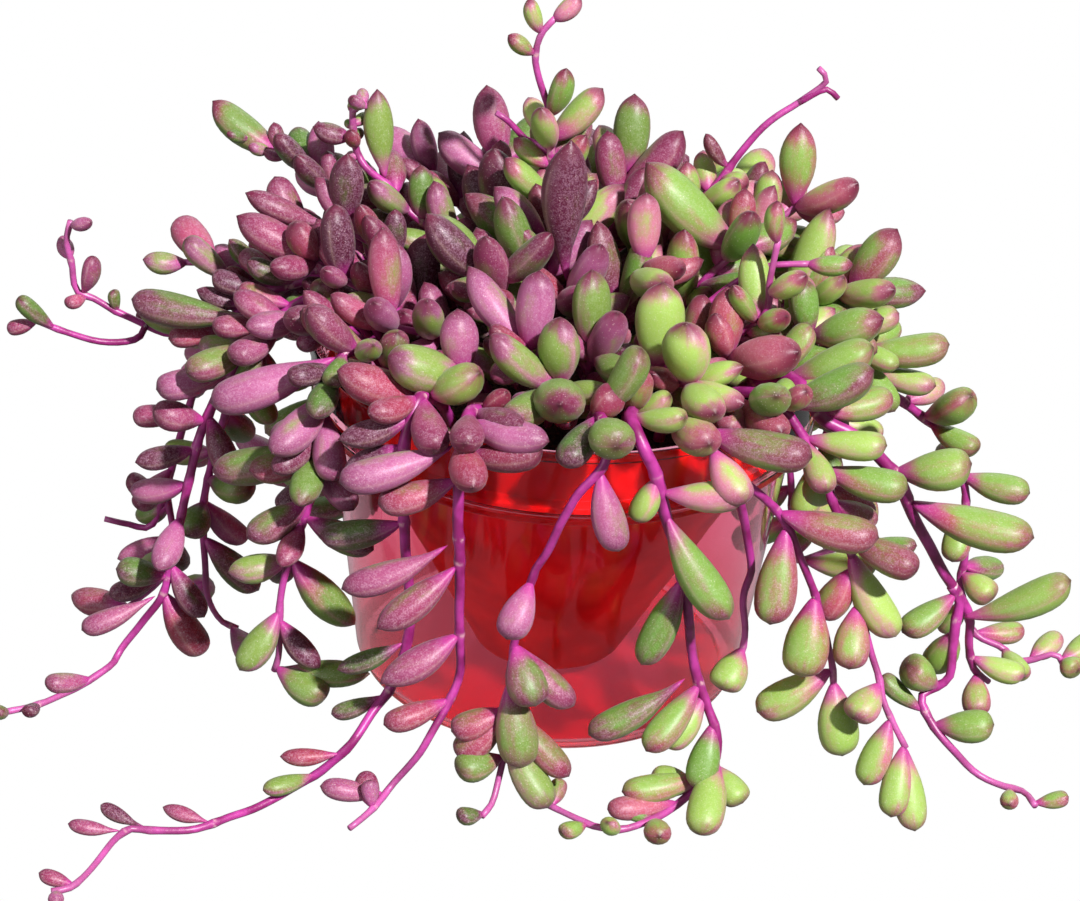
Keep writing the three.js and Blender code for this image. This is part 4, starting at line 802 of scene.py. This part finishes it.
for node, plant in enumerate(PLANTS):
    habit = CROWDED if plant.get("crowded") else TRAILING
    for stretch in plant["fill"]:
        plant["leaves"] += place_stretch(node, plant["paths"][0], stretch, habit, plant["draw"],
                                         SOLID_FIT)

# More leaves fill the gaps between those of the solids. They may press on their neighbours a
# little, as fleshy leaves do. A big leaf that found no room above gets its place here.
MORE_SEED = 5000
LOOSE_FIT = (-0.7, 0.72, 0.4)
PRESSED_FITS = [(-1.5, 0.5, 0.2), (-3.5, 0.25, 0.1), (-7, 0.1, 0.05)]
PRESSED_TRIES = 2


def press_in(node, path, distance, tip, width, draw, fits, tries, skin=()):
    """Places a big leaf by the first fit that finds it room."""
    for fit in fits:
        found = place_large(node, path, distance, tip, width, draw, fit, tries)
        if found:
            PLANTS[node]["leaves"].append(dict(found[0], skin=skin))
            break


for node, plant in enumerate(PLANTS):
    plant["draw"] = draws_from(MORE_SEED + SEED_STEP * node)
    for path, distance, tip, width, skin in plant["missed"]:
        press_in(node, path, distance, tip, width, plant["draw"], PRESSED_FITS, PRESSED_TRIES,
                 skin)

# Others stand out in the crown and the strands of the photo: their stem, where on it, the tip,
# the width, how green and how pale they are.
STANDING_OUT = [
    ("shoot_crown_4", AT_THE_END, (-32, 2, 108), 11, 0.95, 0.6),
    ("shoot_crown_16", 34, (-58, 14, 110), 7, 0.1, 0.8),
    ("shoot_crown_16", AT_THE_END, (-73, 10, 107), 6.5, 0.05, 0.3),
    ("shoot_crown_15", AT_THE_END, (-61, -4, 107), 7.2, 0, 0.54),
    ("shoot_crown_14", 34, (-61, -14, 105), 8, 0.45, 0.54),
    ("shoot_crown_16", 24, (-46, 4, 106), 7.2, 0.05, 0.35),
    ("strand_front_1", 26, (-57, -28, 99), 8, 0.3, 0.54),
    ("shoot_crown_5", AT_THE_END, (-22, -22, 108), 8, 0.2, 0.9),
    ("shoot_crown_7", AT_THE_END, (-16, -45, 104), 8.5, 0.8, 0.8),
    ("shoot_crown_18", AT_THE_END, (-18, -53, 98), 7.8, 0.45, 0.1),
    ("shoot_top_left", 32, (-32, 20, 108), 7, 0.5, 0.7),
    ("shoot_crown_19", 34, (-16, -1, 115), 9.5, 1, 0.3),
    ("shoot_crown_21", 34, (-19, 24, 115), 10, 0, 0.05),
    ("shoot_crown_21", 28, (-26, 34, 106), 10, 0, 0.02),
    ("shoot_crown_20", 30, (15, 30, 110), 7.5, 0.1, 0.5),
    ("shoot_crown_3", 28, (24, 1, 109), 8, 0.85, 0.4),
    ("shoot_top_right", 42, (34, 28, 109), 7, 0.3, 0.1),
    ("shoot_top_right", 48, (42, 27, 109), 7, 0.35, 0.7),
    ("shoot_crown_13", 34, (45, 18, 113), 7, 0.5, 0.7),
    ("shoot_crown_12", 36, (56, 12, 111), 9, 0.9, 0.7),
    ("strand_front_3", 44, (-45, -66, 79), 8.5, 0.15, 0.9),
    ("strand_front_3", 40, (-3, -65, 91), 8.5, 0.1, 0.85),
    ("strand_front_3", 27, (-28, -60, 87), 8.2, 0.25, 0.5),
    ("shoot_crown_7", AT_THE_END, (-12, -58, 92), 8, 0.9, 0.5),
    ("strand_front_4", 35, (0, -66, 86), 7.5, 0.6, 0),
    ("strand_front_4", 30, (10, -52, 97), 7, 0.05, 0.54),
    ("strand_front_5", 28, (15, -50, 100), 7, 0.3, 0.54),
    ("strand_front_6", 32, (30, -62, 91), 9, 0.4, 0.95),
    ("strand_right_arch", 27, (60, -40, 93), 8.5, 0.75, 0.9),
    ("strand_front_7", 30, (45, -55, 91), 8, 0.15, 0.54),
    ("strand_front_1", 60, (-75, -32, 60), 9.5, 0.6, 0.3),
    ("strand_front_1", 75, (-39, -46, 51), 7.5, 0.5, 0.1),
    ("strand_front_1", 112, (-39, -46, 19), 7, 0.95, 0.4),
    ("strand_front_2", 66, (-50, -50, 56), 7.5, 0.6, 0.05),
    ("strand_front_4", 118, (2, -72, 5), 8, 0.85, 0.7),
    ("strand_front_5", 112, (26, -62, 16), 8, 0.95, 0.7),
    ("strand_front_5", 126, (35, -77, 4), 8.4, 0.95, 0.6),
    ("strand_front_5", 131, (18, -66, 6), 7, 0.8, 0.4),
    ("strand_front_5", 139, (15, -70, 4), 6, 0.15, 0.5),
    ("strand_front_7", 84, (58, -50, 44), 8, 0.3, 0.54),
    ("strand_right_arch", 126, (79, -41, 27), 8, 0.8, 0.3),
    ("strand_right_arch", 112, (86, -32, 21), 8, 0.9, 0.5),
    ("strand_back_7", 42, (-46, 46, 76), 9, 0.2, 0.3),
]
names = [plant["name"] for plant in PLANTS]
for name, distance, tip, width, *skin in STANDING_OUT:
    node = names.index(name)
    press_in(node, PLANTS[node]["paths"][0], distance, tip, width, PLANTS[node]["draw"],
             PRESSED_FITS, PRESSED_TRIES, skin)

# Then come leaves that close the mound over the mix and the rim. Their tips are spread over it
# evenly, in a sunflower's spiral, and each grows from the stem nearest to its natural foot.
MOUND_LEAVES = 260
MOUND_RADIUS = 67
MOUND_TOP = 112
MOUND_DROP = 21
MOUND_SPREAD = 8
MOUND_LONG = 19
MOUND_STRAY = 1.1
MOUND_WIDTH_SHARE = 0.4
MOUND_FITS = [LOOSE_FIT, PRESSED_FITS[0]]
MOUND_TRIES = 3
MOUND_SEED = 77
SHORTEST, LONGEST = 13, 26
FIRST_SPOT, SPOT_EVERY = 24, 2
spots = np.array([(node, number, distance, *path.walk(distance)[0])
                  for node, plant in enumerate(PLANTS)
                  for number, path in enumerate(plant["paths"])
                  for distance in np.arange(FIRST_SPOT, path.length, SPOT_EVERY)])
draw = draws_from(MOUND_SEED)
for step in range(MOUND_LEAVES):
    out = math.sqrt((step + 0.5) / MOUND_LEAVES)
    side = np.array([math.cos(step * GOLDEN_TURN), math.sin(step * GOLDEN_TURN), 0])
    height = MOUND_TOP - MOUND_DROP * out ** 3 + MOUND_SPREAD * (next(draw) - 0.5)
    tip = MOUND_RADIUS * out * side + np.array([0, 0, height])
    stray = np.array([next(draw) - 0.5, next(draw) - 0.5, next(draw) - 0.5])
    lean = unit(out * side + np.array([0, 0, 1.1 - out]) + MOUND_STRAY * stray)
    nearest = spots[np.linalg.norm(spots[:, 3:] - (tip - MOUND_LONG * lean), axis=1).argmin()]
    node, number, distance = nearest[:3].astype(int)
    reach = np.linalg.norm(tip - nearest[3:])
    if not SHORTEST < reach < LONGEST:
        continue
    press_in(node, PLANTS[node]["paths"][number], distance, tip, reach * MOUND_WIDTH_SHARE, draw,
             MOUND_FITS, MOUND_TRIES)

# The last ones fill the stems between the leaves that are there, but not the hanging part of
# the strands in front, which is open.
MORE_EVERY = 0.62
MORE_LONG = 0.9
OPEN_FROM = 60
for node, plant in enumerate(PLANTS):
    habit = CROWDED if plant.get("crowded") else TRAILING
    for start, end, every, long in plant["fill"]:
        end = min(end, OPEN_FROM) if node < len(STRANDS) else end
        plant["leaves"] += place_stretch(
            node, plant["paths"][0], (start, end, every * MORE_EVERY, long * MORE_LONG), habit,
            plant["draw"], LOOSE_FIT)

# Now that the leaves have their places, each stem is made: a round tube drawn through its route
# that sways a little and swells into a low, corky knot where a leaf grows.
TUBE_SIDES = 8
TUBE_STEP = 2
KNOT_REACH = 1.1
KNOT_SWELL = 0.22
STEM_SWAY = 0.3
SWAY_SIZE = 0.13
STEADY_ENDS = 6
STEM_PLUMP = 1.15
SWAY_SEED = 7
# Unless it has a seed, the noise of the sway starts from the clock and differs from run to run.
noise.seed_set(SWAY_SEED)


def tube(bm, points, radii, knots):
    """A round tube through points, closed at both ends."""
    look = bm.verts.layers.float_color["stem_look"]
    along = np.gradient(points, axis=0)
    turn = Vector(along[0]).to_track_quat("Z", "Y").to_matrix().to_4x4()
    ring = bmesh.ops.create_circle(bm, segments=TUBE_SIDES, radius=radii[0] * MM, cap_ends=True,
                                   matrix=Matrix.Translation(Vector(points[0]) * MM) @ turn)["verts"]
    rim = list(dict.fromkeys(edge for corner in ring for edge in corner.link_edges))
    for step in range(1, len(points)):
        grown = bmesh.ops.extrude_edge_only(bm, edges=rim)["geom"]
        ring = [part for part in grown if isinstance(part, bmesh.types.BMVert)]
        rim = list(dict.fromkeys(edge for corner in ring for edge in corner.link_edges
                                 if edge.other_vert(corner) in ring))
        middle = Vector(points[step - 1]) * MM
        bend = Vector(along[step - 1]).rotation_difference(Vector(along[step])).to_matrix()
        bmesh.ops.rotate(bm, cent=middle, matrix=bend, verts=ring)
        bmesh.ops.scale(bm, vec=(radii[step] / radii[step - 1],) * 3, verts=ring,
                        space=Matrix.Translation(-middle))
        bmesh.ops.translate(bm, vec=Vector(points[step] - points[step - 1]) * MM, verts=ring)
        for corner in ring:
            corner[look] = (step / len(points), knots[step], 0, 1)
    bmesh.ops.contextual_create(bm, geom=rim)


def stem_mesh(plant):
    bm = bmesh.new()
    bm.verts.layers.float_color.new("stem_look")
    for line, path, (_, coarse) in zip(plant["lines"], plant["paths"], plant["stems"]):
        roots = [leaf["at"] * line.length for leaf in plant["leaves"] if leaf["path"] is path]
        steps = math.ceil(line.length / TUBE_STEP)
        points, radii, knots = [], [], []
        for step in range(steps + 1):
            distance = step / steps * line.length
            point, _ = line.walk(distance)
            knot = max((math.exp(-((distance - root) / KNOT_REACH) ** 2) for root in roots),
                       default=0)
            radius = coarse[0] + (coarse[-1] - coarse[0]) * step / steps
            radius *= STEM_PLUMP * (1 + KNOT_SWELL * knot)
            sway = min(step, steps - step, STEADY_ENDS) / STEADY_ENDS * STEM_SWAY
            point = point + sway * np.array(noise.noise_vector(Vector(point) * SWAY_SIZE))
            point[2] = max(point[2], radius + FLOOR_GAP)
            points.append(point)
            radii.append(radius)
            knots.append(knot)
        tube(bm, np.array(points), radii, knots)
    bmesh.ops.recalc_face_normals(bm, faces=bm.faces)
    return bm


def stem_skin():
    """Magenta skin, paler towards the tip, with a corky scar at each leaf."""
    finish = Finish("magenta_stem_skin")
    look = finish.node("ShaderNodeAttribute", {"attribute_name": "stem_look"}, out="Color")
    along, knot = [finish.node("ShaderNodeSeparateColor", None, {0: look}, out=part)
                   for part in range(2)]
    mottle = finish.grain(6, 3)
    tint = finish.blend(mottle.ramp(0.35, 0.68), srgb(128, 22, 92), srgb(178, 54, 144))
    tint = finish.blend(along.ramp(0.7, 1) * 0.5, tint, srgb(200, 112, 170))
    scar = knot.ramp(0.55, 1) * finish.grain(1.6, 3).ramp(0.45, 0.62)
    tint = finish.blend(scar * 0.7, tint, srgb(206, 168, 168))
    return finish.done(finish.shader("ShaderNodeBsdfPrincipled", {
        "Base Color": tint, "Roughness": 0.42, "Subsurface Weight": 0.15,
        "Subsurface Radius": (1.0 * MM, 0.4 * MM, 0.5 * MM), "Subsurface Scale": 1.0,
        "Coat Weight": 0.15, "Coat Roughness": 0.35,
        "Normal": finish.bump(finish.grain(0.9, 2), 0.35, 0.25)}))


stem_finish = stem_skin()
for plant in PLANTS:
    piece(plant["name"] + "_stem", stem_mesh(plant), stem_finish)

# The leaves are plump and fleshy, blunt with a small point at the tip and thin at the neck, a
# little bent and uneven. Each starts as a small ball whose rings are moved to the leaf's outline,
# given as (share of the length, share of the width) from the tip down. A leaf of the crown lies
# between a spindle and a bean, and one of a strand between a spindle and a club.
LEAF_FLATNESS = 0.86
SPINDLE = [(1.03, 0), (1, 0.08), (0.965, 0.28), (0.9, 0.54), (0.79, 0.82), (0.6, 1), (0.38, 0.88),
           (0.18, 0.5), (0.06, 0.23), (0, 0)]
CLUB = [(1.02, 0), (1.002, 0.1), (0.985, 0.42), (0.945, 0.72), (0.86, 0.94), (0.67, 1),
        (0.43, 0.86), (0.22, 0.5), (0.07, 0.24), (0, 0)]
BEAN = [(1.03, 0), (1, 0.09), (0.972, 0.33), (0.915, 0.62), (0.82, 0.87), (0.63, 1), (0.4, 0.96),
        (0.2, 0.74), (0.07, 0.38), (0, 0)]
LONGEST_BODY = 2.7
TIP_STAIN, STRAND_TIP_STAIN = 1, 0.45
LEAF_SIDES = 8
LEAF_PLUMP = 1.15
LEAF_BEND = 0.05
LEAST_BEND = 0.4
LEAF_LUMPS = 0.1
SHORT_LEAF = 15
SHORT_SWELL = 0.4
LEAF_SEED, LEAF_SEED_STEP = 9000, 31
GREEN_LEAST, RED_MOST = 0.6, 0.6
CLUBS_OVER, CLUB_LEAST = 0.5, 0.7
MOSTLY_GREEN = 0.6
LUMPS_ACROSS, LUMPS_APART, LUMPS_ALONG = 3, 9, 2
STREAKS_APART, STREAK_RUN = 60, 1.2
# The side that faces the light: leaves ripen redder there, and the far side is painted in shade.
LIT_AND_RIPE_SIDE = (0.45, -0.35, 0.82)
SHADED_GREEN, SHADED_WINE = srgb(62, 82, 42), srgb(84, 12, 44)
LIT_BLOOM_GREEN, LIT_BLOOM_PINK = srgb(196, 206, 176), srgb(208, 168, 192)
CORAL, TIP_WINE, POINT_WINE = srgb(160, 46, 66), srgb(96, 18, 50), srgb(70, 14, 36)
NECK_MAGENTA, PALE_MARGIN_AND_PAINTED_RIM, PALE_SPECK = srgb(172, 44, 134), srgb(216, 188, 172), srgb(222, 206, 196)


def leaf_mesh(plant, node):
    bm = bmesh.new()
    look = bm.verts.layers.float_color.new("leaf_look")
    edge = bm.verts.layers.float.new("leaf_edge")
    spread = bm.verts.layers.float_vector.new("leaf_spread")
    stain = bm.verts.layers.float.new("tip_stain")
    crowded = plant.get("crowded", False)
    draw = draws_from(LEAF_SEED + LEAF_SEED_STEP * node)
    slim, stout = np.array(SPINDLE), np.array(BEAN if crowded else CLUB)
    light = unit(np.array(LIT_AND_RIPE_SIDE))
    for leaf in plant["leaves"]:
        line = next(line for line, path in zip(plant["lines"], plant["paths"])
                    if path is leaf["path"])
        root, _ = line.walk(leaf["at"] * line.length)
        root[2] = max(root[2], 1)
        reach = leaf["root"] + leaf["length"] * leaf["axis"] - root
        axis = unit(reach)
        wide = unit(np.array([-axis[1], axis[0], 0]))
        deep = np.cross(wide, axis)
        up = deep if deep[2] > 0 else -deep
        half = leaf["half"] * (1 + SHORT_SWELL * max(0, 1 - leaf["length"] / SHORT_LEAF))
        bend = LEAF_BEND * (LEAST_BEND + next(draw)) * np.linalg.norm(reach)
        stays_green = next(draw) < plant["green"]
        green = next(draw)
        green = (GREEN_LEAST + (1 - GREEN_LEAST) * green if stays_green
                 else plant["green"] * green * RED_MOST)
        own, plump = next(draw), next(draw)
        if plant["green"] > CLUBS_OVER and not crowded:
            plump = CLUB_LEAST + (1 - CLUB_LEAST) * plump
        green, own = leaf.get("skin") or (green, own)
        rings = (1 - plump) * slim + plump * stout
        neck = max(0, 1 - LONGEST_BODY * 2 * leaf["half"] / np.linalg.norm(reach))
        rings[:-1, 0] += neck * (1 - rings[:-1, 0])
        corners = bmesh.ops.create_uvsphere(bm, u_segments=LEAF_SIDES, radius=1,
                                            v_segments=len(rings) - 1)["verts"]
        for corner in corners:
            x, y, z = corner.co
            ring = round(math.acos(max(-1, min(1, z))) / math.pi * (len(rings) - 1))
            share, width = rings[ring]
            level = math.hypot(x, y) or 1
            side = x / level * wide + LEAF_FLATNESS * y / level * deep
            lump = noise.noise(Vector((LUMPS_ACROSS * x, LUMPS_ACROSS * y,
                                       LUMPS_APART * own + LUMPS_ALONG * share)))
            thick = LEAF_PLUMP * (1 + LEAF_LUMPS * lump) * width * half
            spot = root + share * reach + thick * side
            spot = spot - bend * 4 * max(0, share * (1 - share)) * up
            corner.co = Vector(spot) * MM
            # The fourth share is how far the spot faces the light, used for ripening and for painted
            # light and shade.
            corner[look] = (share, own, green, 0.5 + 0.5 * float(side @ light))
            corner[edge] = abs(x / level)
            corner[stain] = TIP_STAIN if crowded else STRAND_TIP_STAIN
            corner[spread] = (x / level, y / level, STREAKS_APART * own + STREAK_RUN * share)
    bmesh.ops.recalc_face_normals(bm, faces=bm.faces)
    return bm


def leaf_skin(name, green_one, green_other, dark, wine, pale):
    """Green skin that turns wine red in the sun, with pale specks and a dusty bloom.

    How ripe a spot is adds up the leaf's own share, the side towards the light, the tip, the neck,
    the edge, and streaks and clouds of three sizes. Light and shade are painted in as well: the side
    away from the light is painted darker as shade, the bloom shows only on the lit side as painted
    light, and the pale edge is partly painted rim light.
    """
    finish = Finish(name)
    look = finish.node("ShaderNodeAttribute", {"attribute_name": "leaf_look"}, out="Color")
    sun = finish.node("ShaderNodeAttribute", {"attribute_name": "leaf_look"}, out="Alpha")
    along, own, green = [finish.node("ShaderNodeSeparateColor", None, {0: look}, out=part)
                         for part in range(3)]
    edge = finish.node("ShaderNodeAttribute", {"attribute_name": "leaf_edge"}, out="Fac")
    spread = finish.node("ShaderNodeAttribute", {"attribute_name": "leaf_spread"}, out="Vector")
    streak = finish.node("ShaderNodeTexNoise", None, {
        "Vector": spread, "Scale": 1.3, "Detail": 4, "Roughness": 0.6})
    cloud = finish.grain(6, 3)
    mottle = finish.grain(1.1, 4, 0.75)
    dust = finish.grain(0.34, 3, 0.7)
    speck = finish.node("ShaderNodeTexVoronoi", None, {
        "Vector": finish.place(), "Scale": 1 / (0.7 * MM), "Randomness": 1.0}, out="Distance")
    stain = finish.node("ShaderNodeAttribute", {"attribute_name": "tip_stain"}, out="Fac")
    tip = along.ramp(0.7, 0.99) * stain
    foot = 1 - along.ramp(0.1, 0.5)
    ripe = (1 - green + 0.45 * (sun - 0.5) + 0.75 * tip + 0.55 * foot + 1.5 * (streak - 0.5)
            + 0.7 * (cloud - 0.5) + 0.4 * (mottle - 0.5) + 0.5 * edge ** 3 - 0.19)
    greens = finish.blend(own, green_one, green_other)
    ripes = finish.blend(own.ramp(0, 0.45), dark, wine)
    ripes = finish.blend(own.ramp(0.4, 0.85), ripes, pale)
    other = own.maths("FRACT", own * 7.3)
    ripes = finish.blend(other.ramp(0.78, 0.96) * 0.6, ripes, CORAL)
    ripes = finish.blend(along.ramp(0.55, 1.0) * 0.45, ripes, dark)
    tint = finish.blend(ripe.ramp(0.12, 1.0), greens, ripes)
    # Painted shade: the side away from the light is darkened towards a shaded green or a deep wine.
    shade = finish.blend(ripe.ramp(0.3, 0.8), SHADED_GREEN, SHADED_WINE)
    tint = finish.blend((0.55 - sun).ramp(0.0, 0.45) * 0.5, tint, shade)
    # The pale bloom is partly the skin's own dust and partly painted light: it shows only on the side
    # towards the light.
    bloom = (0.4 * mottle + 0.6 * dust).ramp(0.44, 0.6) * sun.ramp(0.3, 0.8)
    bloom = bloom * (0.15 + 0.11 * ripe.ramp(0.3, 0.8))
    dusty = finish.blend(ripe.ramp(0.2, 0.8), LIT_BLOOM_GREEN, LIT_BLOOM_PINK)
    tint = finish.blend(bloom, tint, dusty)
    tint = finish.blend(along.ramp(0.84, 1.0) * stain * 0.75, tint, TIP_WINE)
    tint = finish.blend(along.ramp(0.975, 1.01) * 0.8, tint, POINT_WINE)
    tint = finish.blend((1 - along.ramp(0.06, 0.38)) * 0.9, tint, NECK_MAGENTA)
    # A thin pale line at the margins, partly the skin's own pale edge and partly painted rim light.
    tint = finish.blend(edge ** 24 * (0.2 * (1 - tip)), tint, PALE_MARGIN_AND_PAINTED_RIM)
    dots = (1 - speck.ramp(0.1, 0.26)) * (0.1 + 0.35 * mottle.ramp(0.4, 0.7))
    tint = finish.blend(dots, tint, PALE_SPECK)
    return finish.done(finish.shader("ShaderNodeBsdfPrincipled", {
        "Base Color": tint, "Roughness": 0.46, "Subsurface Weight": 0.15,
        "Subsurface Radius": (1.6 * MM, 1.0 * MM, 0.5 * MM), "Subsurface Scale": 1.0,
        "Specular IOR Level": 0.4, "Sheen Weight": 0.08, "Sheen Roughness": 0.4,
        "Coat Weight": 0.06, "Coat Roughness": 0.3,
        "Normal": finish.bump(mottle + 0.4 * dust, 0.3, 0.25)}))


green_finish = leaf_skin("green_leaf_skin", srgb(92, 132, 44), srgb(158, 184, 86),
                         srgb(104, 36, 54), srgb(164, 68, 88), srgb(196, 112, 138))
ruby_finish = leaf_skin("ruby_leaf_skin", srgb(70, 102, 34), srgb(126, 148, 62),
                        srgb(74, 12, 42), srgb(134, 36, 78), srgb(164, 82, 128))
for node, plant in enumerate(PLANTS):
    slot = "leaves_green" if plant["green"] >= MOSTLY_GREEN else "leaves_ruby"
    made = piece(plant["name"] + "_leaves", leaf_mesh(plant, node),
                 green_finish if slot == "leaves_green" else ruby_finish, plant["name"])
    smooth = made.modifiers.new("rounded", "SUBSURF")
    smooth.levels = 1
    smooth.render_levels = 1

# The table is a plain white sheet without an edge in sight, under a white tent of light with one
# harder lamp from the upper right.
TABLE_RADIUS = 4


def white_sheet():
    """White to the eye and through clear plastic, and dimmer in what it throws back."""
    finish = Finish("white_sheet")
    bright = finish.shader("ShaderNodeEmission", {"Color": (1, 1, 1, 1), "Strength": 1.0})
    dim = finish.shader("ShaderNodeEmission", {"Color": (1, 1, 1, 1), "Strength": 0.25})
    seen = (finish.node("ShaderNodeLightPath", out="Is Camera Ray")
            + finish.node("ShaderNodeLightPath", out="Is Transmission Ray"))
    return finish.done(finish.node("ShaderNodeMixShader", None, {0: seen, 1: dim, 2: bright}))


table_mesh = bpy.data.meshes.new("white_table")
bm = bmesh.new()
bmesh.ops.create_circle(bm, cap_ends=True, segments=64, radius=TABLE_RADIUS)
bm.to_mesh(table_mesh)
bm.free()
table_mesh.materials.append(white_sheet())
white_table = bpy.data.objects.new("white_table", table_mesh)
bpy.context.scene.collection.objects.link(white_table)


def lamp(name, kind, strength, size, place, aim=(0, 0, 0.06)):
    light = bpy.data.lights.new(name, kind)
    light.energy = strength
    if kind == "SUN":
        light.angle = math.radians(size)
    else:
        light.size = size
    made = bpy.data.objects.new(name, light)
    made.location = place
    made.rotation_euler = (Vector(aim) - Vector(place)).to_track_quat("-Z", "Y").to_euler()
    bpy.context.scene.collection.objects.link(made)


TENT_LIGHT = 0.22
lamp("hard_lamp", "SUN", 6.2, 3, (0.55, -0.72, 1.1))
lamp("soft_panel", "AREA", 9.5, 1.2, (-1.3, -1.0, 0.6))
lamp("back_panel", "AREA", 7, 1.2, (0.3, 1.5, 0.8))
world = bpy.data.worlds.new("white_tent")
bpy.context.scene.world = world
world.use_nodes = True
tent = world.node_tree.nodes["Background"]
tent.inputs["Color"].default_value = (1, 1, 1, 1)
tent.inputs["Strength"].default_value = TENT_LIGHT
bpy.context.scene.view_settings.view_transform = "Standard"

# The camera stands in front, a little above the plant and slightly tilted to one side.
CAMERA_RISE = math.radians(29.5)
CAMERA_ROLL = math.radians(3.6)
CAMERA_AIM = (-4.5, 0, 52)
CAMERA_FAR = 720
CAMERA_LENS = 105.57
CAMERA_SENSOR = 36
forward = Vector((0, math.cos(CAMERA_RISE), -math.sin(CAMERA_RISE)))
up = Vector((0, math.sin(CAMERA_RISE), math.cos(CAMERA_RISE)))
right = Vector((1, 0, 0))
axes = (right * math.cos(CAMERA_ROLL) + up * math.sin(CAMERA_ROLL),
        up * math.cos(CAMERA_ROLL) - right * math.sin(CAMERA_ROLL), -forward)
lens = bpy.data.cameras.new("camera")
lens.sensor_width = CAMERA_SENSOR
lens.lens = CAMERA_LENS
camera = bpy.data.objects.new("camera", lens)
camera.matrix_world = (Matrix.Translation((Vector(CAMERA_AIM) - CAMERA_FAR * forward) * MM)
                       @ Matrix(axes).transposed().to_4x4())
bpy.context.scene.collection.objects.link(camera)
bpy.context.scene.camera = camera
